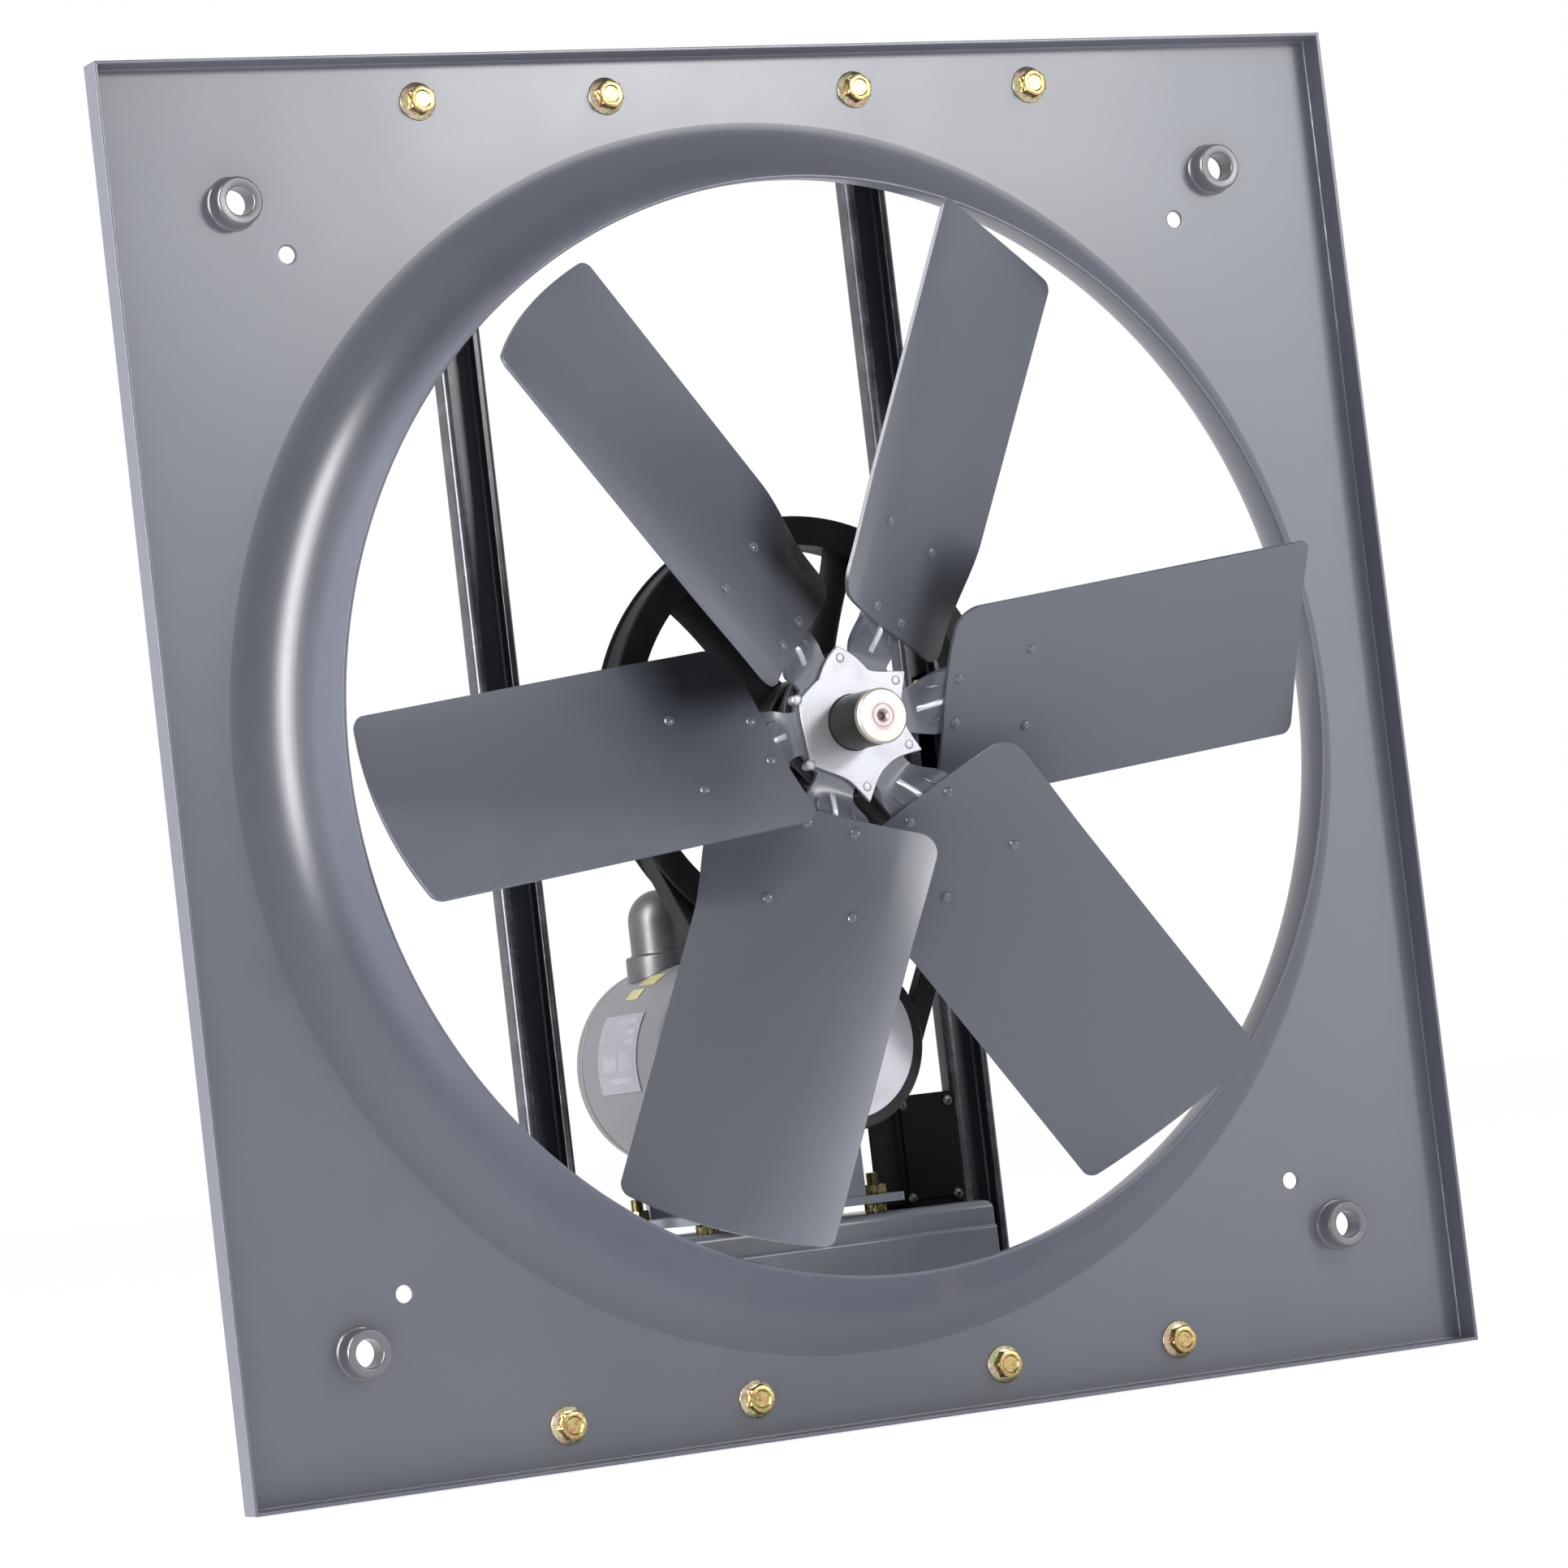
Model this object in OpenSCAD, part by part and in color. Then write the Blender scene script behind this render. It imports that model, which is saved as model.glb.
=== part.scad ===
// Belt driven axial exhaust fan. A square wall panel has a bell mouth drawn out of it, and a
// six blade propeller turns inside the mouth on an overhung shaft. The shaft runs in a two
// bearing cartridge on a bridge between two posts, and a motor hung below it drives it by a
// V belt. Millimetres, Z up. The panel's front face is the plane Y = 0, air runs along Y,
// and the shaft's centre line is the Y axis. The viewer's side is -Y.

/* [Wall panel] */
// Side of the square panel
panel_w = 800; // [770:1:1000]
// Sheet thickness of the panel and of the bell mouth
panel_t = 2; // [1.2:0.1:3]
// Depth of the turned edge in front of the panel's front face
edge_depth = 16; // [8:1:40]
// Inside radius of the bend between the panel and its turned edge
edge_bend_r = 3; // [1:0.5:6]
// Distance of the wall fixing holes from the panel's edges
wall_hole_inset = 109; // [100:1:115]
// Radius of a wall fixing hole
wall_hole_r = 5; // [3:0.1:8]

/* [Corner spacers] */
// Distance of the corner spacers from the panel's edges
spacer_inset = 79.5; // [50:0.5:85]
// Outer radius of a corner spacer
spacer_r = 14; // [11:0.5:18]
// Radius of the bore through a corner spacer
spacer_bore_r = 8; // [4:0.5:9.5]
// Height of a corner spacer in front of the panel
spacer_h = 12; // [4:1:30]

/* [Bell mouth] */
// Width of the flat panel left between the bell mouth and the panel's edges
mouth_margin = 42; // [38:1:55]
// Width of the bell mouth's curl, from the flat panel in to its free lip
mouth_roll = 44; // [33:1:48]
// Height of the bell mouth in front of the panel
mouth_h = 60; // [40:1:90]

/* [Panel bolts] */
// Distance of the two rows of panel bolts from the panel's top and bottom edges
bolt_row_inset = 24.5; // [20:0.5:30]
// Distance between the two bolts of one leg
foot_pitch = 119; // [100:1:130]
// Radius of the panel bolts
bolt_r = 5; // [3:0.1:6]
// Radius of the flange under a panel bolt's head
bolt_flange_r = 11; // [9:0.5:13]
// Width across the flats of a panel bolt's head and nut
bolt_flats = 15; // [13:0.1:17]
// Height of a panel bolt's hexagon
bolt_head_h = 6; // [3:0.5:9]
// Thickness of a panel bolt's flange
bolt_flange_h = 2; // [1:0.1:3]
// Thickness of a panel nut
nut_h = 8; // [5:0.5:10]

/* [Support posts] */
// Distance of each post's centre line from the shaft, sideways
post_x = 141; // [138:1:146]
// Width of the post channel
post_w = 24; // [22:0.5:28]
// Depth of the post channel
post_d = 12; // [11:0.5:18]
// Sheet thickness of the post channel
post_t = 2; // [1.5:0.1:3]
// Width of the lips along the post's open side
post_lip = 3.5; // [1:0.1:4]
// Distance of a post's ends from the panel's top and bottom edges
post_inset = 8; // [5:1:12]
// Distance from the panel's front face to the posts' front edges
post_y = 107; // [95:1:130]
// Sheet thickness of a leg
leg_t = 4; // [2:0.1:6]
// Width of a leg, up and down
leg_w = 34; // [26:1:40]
// Half length of a leg's foot, from its bolt to its end
foot_half = 16; // [12:1:20]
// Half width of the flat crown of a leg, where the post sits
crown_half = 18; // [14:0.5:22]
// Radius of the bolts that hold the posts, the bridge, the cartridge and the tray
frame_bolt_r = 4; // [3:0.1:4.5]
// Width across the flats of the frame bolts
frame_bolt_flats = 13; // [11:0.1:14]
// Height of a frame bolt's head
frame_head_h = 5; // [3:0.1:6]
// Thickness of a frame nut
frame_nut_h = 6; // [4:0.1:8]

/* [Bearing bridge and cartridge] */
// Top of the bearing bridge above the shaft
bridge_up = 41; // [39:0.5:50]
// Bottom of the bearing bridge below the shaft
bridge_down = 52; // [45:0.5:60]
// Sheet thickness of the bridge
bridge_t = 4; // [3:0.1:6]
// Depth of the bridge's folded flanges
bridge_flange = 18; // [8:1:25]
// Outer radius of the bearing cartridge
cartridge_r = 34.5; // [33.8:0.1:36]
// Distance from the panel's front face to the cartridge's front end
cartridge_y = 42; // [38:0.5:48]
// Length of the cartridge
cartridge_len = 140; // [120:1:150]
// Half width of the cartridge's flange
cartridge_flange_w = 62; // [58:0.5:70]
// Half height of the cartridge's flange
cartridge_flange_h = 33; // [28:0.5:36]
// Thickness of the cartridge's flange
cartridge_flange_t = 10; // [8:0.5:12]
// Sideways distance of the flange bolts from the shaft
cartridge_bolt_x = 50; // [46:0.5:53]
// Distance of the flange bolts above and below the shaft
cartridge_bolt_z = 22; // [15:0.5:23]

/* [Shaft bearings] */
// Outer radius of a shaft bearing
bearing_r = 31; // [29:0.1:31.5]
// Bore radius of a shaft bearing
bearing_bore_r = 15; // [13:0.1:15.4]
// Width of a shaft bearing
bearing_w = 16; // [13:0.5:20]
// Radius of a bearing ball
ball_r = 4.7; // [4:0.1:5]
// Balls in each bearing
ball_count = 9; // [6:1:10]
// Radial thickness of the bearing rings
ring_t = 5; // [4:0.1:5.5]
// Thickness of the retaining rings
clip_t = 1.6; // [1:0.1:2]

/* [Fan shaft] */
// Radius of the fan shaft
shaft_r = 15.9; // [15.6:0.1:17]
// Distance of the shaft's front end in front of the panel's front face
shaft_front = 94; // [85:1:105]
// Length of the shaft behind the cartridge
shaft_tail = 18; // [14:1:30]
// Radius of the centre hole in the shaft's end
centre_hole_r = 2.2; // [1:0.1:4]
// Depth of the centre hole in the shaft's end
centre_hole_depth = 6; // [2:0.5:10]
// Radius of the chamfer on the shaft's ends
shaft_chamfer = 0.8; // [0.3:0.1:2]
// Side of the square keys
key_w = 8; // [6:0.1:9]
// Length of the keys
key_len = 26; // [16:1:30]
// Outer radius of the locking collar behind the cartridge
collar_r = 24; // [20:0.5:30]
// Width of the locking collar
collar_w = 12; // [8:0.5:13]

/* [Propeller hub] */
// Distance of the hub plate's front face in front of the panel's front face
hub_front = 58.5; // [54:0.5:64]
// Thickness of the star shaped hub plate
hub_plate_t = 2.5; // [1.5:0.1:4]
// Radius of the hub plate's points
hub_point_r = 46; // [42:0.5:50]
// Radius of the hub plate between its points
hub_waist_r = 33; // [31:0.5:38]
// Radius of the hub barrel
barrel_r = 29; // [25:0.5:30]
// Length of the hub barrel
barrel_len = 36; // [26:1:38]
// Radius of the barrel's flange behind the spider
barrel_flange_r = 41.5; // [41:0.1:43]
// Thickness of the barrel's flange
barrel_flange_t = 6; // [4:0.5:9]
// Thickness of the spider
spider_t = 4; // [2.5:0.1:6]
// Radius of the spider's centre disc
spider_disc_r = 44; // [40:0.5:46]
// Width of a spider arm
arm_w = 40; // [32:1:46]
// Radius reached by the spider arms
arm_reach = 128; // [122:1:150]
// Width of the raised rib on an arm
rib_w = 4; // [2:0.5:8]
// Height of the raised rib on an arm
rib_h = 2; // [1:0.1:3]
// Radius where a rib starts
rib_from = 47; // [45:0.5:49]
// Radius where a rib ends
rib_to = 58; // [54:0.5:60]
// Radius of the six rivets through the hub plate
hub_rivet_r = 3; // [2:0.1:3.5]
// Pitch radius of the six hub rivets
hub_rivet_pitch = 37.5; // [36:0.5:39]

/* [Propeller blades] */
// Number of blades
blade_count = 6; // [6:1:6]
// Running gap between the blade tips and the bell mouth's lip
tip_gap = 11; // [9:0.5:18]
// Radius of the blade roots along their centre lines
root_r = 57; // [54:0.5:60]
// Chord of a blade
chord = 124; // [100:1:128]
// Thickness of a blade
blade_t = 2.5; // [1.5:0.1:4]
// Pitch angle of a blade at its tip
pitch_tip = 29.5; // [24:0.5:32]
// Pitch angle of a blade at its root
pitch_root = 31; // [26:0.5:34]
// Camber of a blade
camber = 8; // [4:0.5:11]
// Distance of the blades' front at mid chord in front of the panel's front face
blade_front = 66; // [62:0.5:70]
// Angle of the first blade's centre line above the +X axis
blade_start = 6; // [0:1:59]
// Radius of the rounded tip corners
tip_corner_r = 16; // [4:0.5:30]
// Radius of the rounded root corners
root_corner_r = 13; // [4:0.5:16]
// How far the leading edge is turned back at the root
root_curl = 12; // [0:0.5:14]
// How far the trailing edge is bent forward at the root
root_bend = 6; // [0:0.5:8]
// Radius where the turned root of a blade runs out
curl_end_r = 142; // [130:1:160]
// Radius of a blade rivet's shank
rivet_r = 2.4; // [1.5:0.1:3]
// Radius of a blade rivet's head
rivet_head_r = 4.4; // [3.2:0.1:6]
// Height of a blade rivet's head
rivet_head_h = 2; // [1:0.1:3]
// Pitch radius of the inner pair of rivets
rivet_in_r = 65; // [64:0.5:70]
// Half distance between the inner pair of rivets
rivet_in_s = 14; // [8:0.5:15]
// Pitch radius of the outer pair of rivets
rivet_out_r = 113; // [105:0.5:118]
// Half distance between the outer pair of rivets
rivet_out_s = 24.5; // [20:0.5:26]
// Half width of the spider's crosshead under the outer rivets
crosshead_half = 32; // [30:0.5:36]

/* [Belt drive] */
// Distance of the belt's centre plane behind the panel's front face
belt_y = 8; // [4:0.5:10]
// Drop of the motor's centre line below the fan shaft
motor_drop = 180; // [179:0.5:190]
// Outer radius of the driven sheave
driven_r = 126.5; // [122:0.5:128]
// Radial depth of the driven sheave's rim
rim_depth = 17; // [16:0.5:22]
// Width of both sheaves' rims
rim_w = 24; // [22:0.5:26]
// Radius of the driven sheave's hub
sheave_hub_r = 32; // [28:0.5:36]
// Length of the driven sheave's hub
sheave_hub_len = 42; // [36:0.5:44]
// Spokes in the driven sheave
spoke_count = 6; // [3:1:6]
// Width of a spoke
spoke_w = 19; // [14:0.5:22]
// Thickness of a spoke
spoke_t = 9; // [6:0.5:12]
// Angle of the first spoke
spoke_start = 69; // [40:1:100]
// Outer radius of the motor sheave
motor_sheave_r = 51; // [46:0.5:54]
// Radius of the motor sheave's hub
motor_hub_r = 20; // [16:0.5:24]
// Length of the motor sheave's hub
motor_hub_len = 34; // [28:0.5:36]
// Width of the belt at its outer face
belt_w = 16.6; // [13:0.1:17]
// Thickness of the belt
belt_h = 11; // [8:0.5:12]
// How far the belt's outer face lies inside the rims
belt_sink = 1.5; // [0.5:0.1:2]
// Half of the groove angle
groove_half_angle = 18; // [15:0.5:20]
// Clearance between belt and groove, on each side
belt_gap = 0.4; // [0.3:0.05:0.6]

/* [Motor] */
// Outer radius of the motor shell
motor_r = 61; // [58:0.5:64]
// Wall of the motor shell
motor_wall = 2.5; // [2:0.1:4]
// Distance from the panel's front face to the motor's front end
motor_y = 33; // [31:0.5:36]
// Length of the motor
motor_len = 208; // [200:1:215]
// Depth of each end bell
bell_d = 20; // [16:0.5:24]
// Rounding radius of the end bells
bell_round = 14; // [8:0.5:16]
// Wall of the end bells
bell_wall = 6; // [4:0.5:8]
// Radius of the motor shaft in its bearings
motor_journal_r = 7.5; // [7.4:0.1:8.5]
// Radius of the motor shaft in its sheave
motor_shaft_r = 7; // [6:0.1:7.2]
// Outer radius of the motor's bearings
motor_bearing_r = 17.5; // [16:0.1:19]
// Width of the motor's bearings
motor_bearing_w = 11; // [9:0.5:12]
// Inner radius of the stator
stator_bore_r = 34; // [30:0.5:38]
// Length of the stator
stator_len = 90; // [60:1:110]
// Air gap between stator and rotor
air_gap = 0.5; // [0.3:0.1:1]
// Radius of the long bolts through the motor
through_bolt_r = 2.5; // [2:0.1:3]
// Pitch radius of the long bolts through the motor
through_bolt_pitch = 42; // [41:0.5:43]
// Radius of the capacitor cover
cap_r = 19; // [15:0.5:20]
// Height of the capacitor cover above the motor
cap_h = 46; // [35:1:60]
// Radius of the capacitor cover's foot
cap_foot_r = 23; // [21:0.5:26]
// Height of the capacitor cover's foot
cap_foot_h = 7; // [5:0.5:10]
// Distance of the capacitor cover from the motor's rear end
cap_from_rear = 44; // [44:1:60]
// How far the capacitor cover stands to the left of the motor's axis
cap_side = 9.5; // [0:0.5:14]
// Length of the blank rating plate along the motor
rating_len = 52; // [30:1:60]
// Angle that the rating plate covers round the motor
rating_angle = 45; // [20:1:60]
// Thickness of the rating plate
rating_t = 0.6; // [0.4:0.1:1]

/* [Motor support] */
// Gap between the motor tray's ends and the posts
tray_gap = 3; // [3:0.5:5]
// Distance from the panel's front face to the tray's front
tray_y = 70; // [66:1:76]
// Depth of the tray, front to back
tray_d = 130; // [125:1:150]
// Sheet thickness of the tray
tray_t = 4; // [2.5:0.1:5]
// Height of the tray's folded skirt
tray_skirt = 34; // [28:1:40]
// Height of the upper step in the tray's front skirt
tray_step_h = 15; // [10:0.5:18]
// Drop of the tray's top below the motor's centre line
tray_drop = 101; // [98:0.5:110]
// Thickness of the cradle's base plate
cradle_t = 5; // [3:0.1:8]
// Half length of the cradle's base plate, sideways
cradle_half = 70; // [66:0.5:75]
// Distance of the cradle's front and rear ends from its studs
cradle_lip = 16; // [12:0.5:17]
// Sideways distance of the studs from the motor's centre line
stud_x = 56; // [52:0.5:58]
// Distance between the front and rear studs
stud_pitch = 90; // [80:1:100]
// Distance of the front studs behind the tray's front
stud_inset = 17; // [12:0.5:22]
// Length of a stud above the tray's top
stud_up = 24; // [20:0.5:30]
// Gap under the cradle, filled by the lock nuts
lock_nut_h = 6; // [4:0.5:8]
// Thickness of the cradle's two saddles
saddle_t = 5; // [3:0.1:8]
// Half width of the cradle's saddles
saddle_half = 45; // [40:0.5:50]
// Sheet thickness of the angle cleats
cleat_t = 4; // [3:0.1:6]
// Height of the angle cleats
cleat_h = 30; // [24:1:34]
// Length of the angle cleats' long leg
cleat_len = 64; // [50:1:74]

/* [Junction box] */
// Width of the junction box
box_w = 42; // [32:1:46]
// Depth of the junction box, front to back
box_d = 36; // [24:1:50]
// Height of the junction box
box_h = 67; // [50:1:80]
// Gap between the junction box and the tray's end
box_gap = 2; // [0:0.5:6]
// Wall of the junction box
box_wall = 2.5; // [1.5:0.1:4]
// Thickness of the junction box lid
lid_t = 4; // [2:0.1:6]
// Radius of the lid screws
lid_screw_r = 1.6; // [1.2:0.1:2]
// Inset of the lid screws from the lid's edges
lid_screw_inset = 5.5; // [4.5:0.1:7]
// Radius of the cable gland's body
gland_r = 8; // [6:0.5:9]
// Length of the cable gland outside the box
gland_len = 16; // [10:0.5:24]
// Radius of the gland's cable hole
gland_bore_r = 3.5; // [2:0.1:4]

/* [Hidden] */

paint = "#70777f";
blade_paint = "#666d75";
bare_steel = "#b9b9b4";
zinc = "#c3a860";
cast_black = "#222226";
motor_paint = "#a0a0a3";

// Overrun of every cut past the face that it opens
over = 1;
// How deep two shapes of one solid run into each other
lap = 0.5;
// Radial clearance of a bolt or rivet in its hole
bolt_gap = 0.5;
// Radial clearance of a nut or a rivet on its shank
thread_gap = 0.1;
// Radial clearance of a running or pushed fit on a shaft
fit_gap = 0.03;
// Clearance between a face that turns and a face that stands still
run_gap = 1;
// Clearance between two pieces that lie on curved faces of each other
seat_gap = 0.1;
// Depth of the small chamfers on cast and turned pieces
edge_chamfer = 1;
mouth_fn = 180;
round_fn = 96;
small_fn = 40;
// Radius of the set screw's hole in the locking collar
set_screw_r = 3;
// How much of an arm's width is left at its rounded end
arm_end_share = 0.1;
// How sharply the hub plate's points stand out
star_power = 2.5;
// How fast the turned blade root fades out along the blade
curl_power = 1.5;
// How closely the blade's rows stand at its root
span_power = 1.25;

wall_side = panel_w / 2;
wall_hole_pitch = panel_w - 2 * wall_hole_inset;
spacer_pitch = panel_w - 2 * spacer_inset;
mouth_r = wall_side - mouth_margin;
throat_r = mouth_r - mouth_roll;
tip_r = throat_r - tip_gap;
bolt_row_z = wall_side - bolt_row_inset;
post_len = panel_w - 2 * post_inset;
tray_half = post_x - post_w / 2 - tray_gap;
post_back = post_y + post_d;
cartridge_back = cartridge_y + cartridge_len;
bearing_inset = clip_t * 3;
front_bearing_y = cartridge_y + bearing_inset;
rear_bearing_y = cartridge_back - bearing_inset - bearing_w;
shaft_end = cartridge_back + shaft_tail;
cartridge_land_r = bearing_r - 2 * clip_t;
spider_front = hub_front - hub_plate_t;
spider_back = spider_front - spider_t;
barrel_back = spider_back - barrel_len;
blade_step = 360 / blade_count;

motor_z = -motor_drop;
motor_end = motor_y + motor_len;
shell_y = motor_y + bell_d;
shell_end = motor_end - bell_d;
belt_big_r = driven_r - belt_sink;
belt_small_r = motor_sheave_r - belt_sink;
belt_lean = asin((belt_big_r - belt_small_r) / motor_drop);
belt_inner_w = belt_w - 2 * belt_h * tan(groove_half_angle);
groove_depth = belt_h + 2 * belt_sink;
groove_top_w = belt_w + 2 * belt_gap + 2 * belt_sink * tan(groove_half_angle);
groove_bottom_w = groove_top_w - 2 * groove_depth * tan(groove_half_angle);
sheave_front = belt_y - rim_w / 2;

tray_top = motor_z - tray_drop;
cradle_bottom = tray_top + lock_nut_h;
cradle_top = cradle_bottom + cradle_t;
stud_y1 = tray_y + stud_inset;
stud_y2 = stud_y1 + stud_pitch;
cradle_y = stud_y1 - cradle_lip;
cradle_d = stud_pitch + 2 * cradle_lip;
box_x = tray_half - box_gap - box_w;
box_y = post_y - box_d / 4;
plate_mid_angle = 170;

// Turns a shape so that its own Z axis points along the air path, away from the viewer
module along_y() {
    rotate([-90, 0, 0]) children();
}

// Lays a flat outline in the XZ plane, extruded towards the viewer
module facing_front() {
    rotate([90, 0, 0]) children();
}

// Cylinder along Y from one depth to another
module rod_y(r, y_from, y_to, fn = round_fn) {
    translate([0, y_from, 0]) along_y() cylinder(h = y_to - y_from, r = r, $fn = fn);
}

// Tube along Y
module tube_y(r_out, r_in, y_from, y_to, fn = round_fn) {
    difference() {
        rod_y(r_out, y_from, y_to, fn);
        rod_y(r_in, y_from - over, y_to + over, fn);
    }
}

// Hexagon prism along Y, given across its flats
module hex_y(flats, y_from, y_to) {
    translate([0, y_from, 0]) along_y() cylinder(h = y_to - y_from, r = flats / 2 / cos(30), $fn = 6);
}

// Plain box given by two opposite corners
module block(a, b) {
    translate(a) cube([b[0] - a[0], b[1] - a[1], b[2] - a[2]]);
}

// Bolt along Y with its head in front of y_from and a nut behind y_to
module frame_bolt(y_from, y_to) {
    hex_y(frame_bolt_flats, y_from - frame_head_h, y_from);
    rod_y(frame_bolt_r, y_from - lap, y_to + frame_nut_h + over, small_fn);
    difference() {
        hex_y(frame_bolt_flats, y_to, y_to + frame_nut_h);
        rod_y(frame_bolt_r + thread_gap, y_to - over, y_to + frame_nut_h + over, small_fn);
    }
}

module frame_hole(y_from, y_to) {
    rod_y(frame_bolt_r + bolt_gap, y_from - over, y_to + over, small_fn);
}

// Places a child at the four corners of a square
module four_corners(pitch) {
    for (sx = [-1, 1], sz = [-1, 1])
        translate([sx * pitch / 2, 0, sz * pitch / 2]) children();
}

// Places a child at the eight panel bolts
module panel_bolt_places() {
    for (sx = [-1, 1], sz = [-1, 1], foot = [-1, 1])
        translate([sx * post_x + foot * foot_pitch / 2, 0, sz * bolt_row_z]) children();
}

// Points of an arc, from one angle to another
function arc_points(cx, cy, r, a0, a1, n) =
    [for (i = [0 : n]) let (a = a0 + (a1 - a0) * i / n) [cx + r * cos(a), cy + r * sin(a)]];

// Section of the panel's rim: sheet, bend and turned edge. X runs outward, Y away from the viewer
module edge_section() {
    bend_x = wall_side - panel_t - edge_bend_r;
    polygon(concat(
        [[bend_x - lap, 0]],
        arc_points(bend_x, -edge_bend_r, edge_bend_r, 90, 0, 8),
        [[wall_side - panel_t, -edge_depth], [wall_side, -edge_depth]],
        arc_points(bend_x, -edge_bend_r, edge_bend_r + panel_t, 0, 90, 8),
        [[bend_x - lap, panel_t]]
    ));
}

// One side of the panel's rim with mitred ends, on the +X side
module edge_side() {
    intersection() {
        translate([0, 0, -wall_side]) linear_extrude(height = panel_w) edge_section();
        translate([0, panel_t + over, 0]) facing_front()
            linear_extrude(height = edge_depth + panel_t + 2 * over)
                polygon([[0, 0], [panel_w, panel_w], [panel_w, -panel_w]]);
    }
}

// Section of the bell mouth: a quarter ellipse from the panel to a lip that runs along the axis
module mouth_section() {
    steps = 20;
    front_a = mouth_r - throat_r - panel_t;
    back_a = mouth_r - throat_r;
    back_b = mouth_h + panel_t;
    polygon(concat(
        [for (i = [0 : steps]) let (t = 90 * i / steps)
            [mouth_r - front_a * cos(t), mouth_h * sin(t) - mouth_h]],
        [[mouth_r + lap, 0], [mouth_r + lap, panel_t]],
        [for (i = [steps : -1 : 0]) let (t = 90 * i / steps)
            [mouth_r - back_a * cos(t), back_b * sin(t) - mouth_h]]
    ));
}

module panel() {
    sheet_half = wall_side - panel_t - edge_bend_r;
    color(paint) difference() {
        union() {
            difference() {
                block([-sheet_half, 0, -sheet_half], [sheet_half, panel_t, sheet_half]);
                rod_y(mouth_r, -over, panel_t + over, mouth_fn);
            }
            for (i = [0 : 3]) rotate([0, 90 * i, 0]) edge_side();
            along_y() rotate_extrude($fn = mouth_fn) mouth_section();
        }
        four_corners(wall_hole_pitch) rod_y(wall_hole_r, -over, panel_t + over, small_fn);
        four_corners(spacer_pitch) rod_y(spacer_bore_r, -over, panel_t + over, small_fn);
        panel_bolt_places() rod_y(bolt_r + bolt_gap, -over, panel_t + over, small_fn);
    }
}

module corner_spacers() {
    color(paint) four_corners(spacer_pitch) tube_y(spacer_r, spacer_bore_r, -spacer_h, 0, small_fn);
}

module panel_bolts() {
    color(zinc) panel_bolt_places() {
        rod_y(bolt_flange_r, -bolt_flange_h, 0, small_fn);
        intersection() {
            hex_y(bolt_flats, -bolt_flange_h - bolt_head_h, -bolt_flange_h + lap);
            translate([0, -bolt_flange_h - bolt_head_h, 0]) along_y()
                cylinder(h = bolt_head_h + lap, r1 = bolt_flats / 2, r2 = bolt_flats / 2 + bolt_head_h,
                    $fn = small_fn);
        }
        rod_y(bolt_r, -lap, panel_t + leg_t + nut_h + bolt_head_h / 2, small_fn);
    }
}

module panel_nuts() {
    nut_front = panel_t + leg_t;
    color(zinc) panel_bolt_places() difference() {
        union() {
            rod_y(bolt_flange_r, nut_front, nut_front + bolt_flange_h, small_fn);
            hex_y(bolt_flats, nut_front + bolt_flange_h - lap, nut_front + nut_h);
        }
        rod_y(bolt_r + thread_gap, nut_front - over, nut_front + nut_h + over, small_fn);
    }
}

// A leg is one strip bent like a hat: two feet on the panel and a crown that carries the post
module leg() {
    foot_in = foot_pitch / 2 - foot_half;
    foot_out = foot_pitch / 2 + foot_half;
    rise = post_y - leg_t - panel_t;
    slant = leg_t * sqrt(rise * rise + pow(foot_in - crown_half, 2)) / rise;
    half = [
        [crown_half + slant - leg_t / 4, post_y], [foot_in + slant - leg_t / 4, panel_t + leg_t],
        [foot_out, panel_t + leg_t], [foot_out, panel_t], [foot_in, panel_t], [crown_half, post_y - leg_t]
    ];
    difference() {
        translate([0, 0, -leg_w / 2]) linear_extrude(height = leg_w)
            polygon(concat(half, [for (i = [len(half) - 1 : -1 : 0]) [-half[i][0], half[i][1]]]));
        for (s = [-1, 1]) translate([s * foot_pitch / 2, 0, 0])
            rod_y(bolt_r + bolt_gap, 0, panel_t + leg_t + over, small_fn);
        frame_hole(post_y - leg_t, post_y);
    }
}

module upper_left_leg() { color(paint) translate([-post_x, 0, bolt_row_z]) leg(); }
module upper_right_leg() { color(paint) translate([post_x, 0, bolt_row_z]) leg(); }
module lower_left_leg() { color(paint) translate([-post_x, 0, -bolt_row_z]) leg(); }
module lower_right_leg() { color(paint) translate([post_x, 0, -bolt_row_z]) leg(); }

// Heights of the two bolts that hold the bridge to a post, and of those that hold a tray cleat
bridge_bolt_heights = [(bridge_up - frame_bolt_flats), -(bridge_down - frame_bolt_flats)];
cleat_mid = tray_top - tray_t - cleat_h / 2;
cleat_bolt_heights = [cleat_mid + cleat_h / 4, cleat_mid - cleat_h / 4];

// A post is a lipped channel, open towards the viewer
module post() {
    inner = post_w / 2 - post_t;
    gap = post_w / 2 - post_lip;
    difference() {
        block([-post_w / 2, post_y, -post_len / 2], [post_w / 2, post_back, post_len / 2]);
        block([-inner, post_y + post_t, -post_len], [inner, post_back - post_t, post_len]);
        block([-gap, post_y - over, -post_len], [gap, post_y + post_t + over, post_len]);
        for (s = [-1, 1]) translate([0, 0, s * bolt_row_z]) frame_hole(post_back - post_t, post_back);
        for (z = concat(bridge_bolt_heights, cleat_bolt_heights))
            translate([0, 0, z]) frame_hole(post_back - post_t, post_back);
    }
}

module left_post() { color(paint) translate([-post_x, 0, 0]) post(); }
module right_post() { color(paint) translate([post_x, 0, 0]) post(); }

module post_bolts() {
    color(zinc) for (sx = [-1, 1], sz = [-1, 1])
        translate([sx * post_x, 0, sz * bolt_row_z]) frame_bolt(post_y - leg_t, post_back);
}

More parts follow.
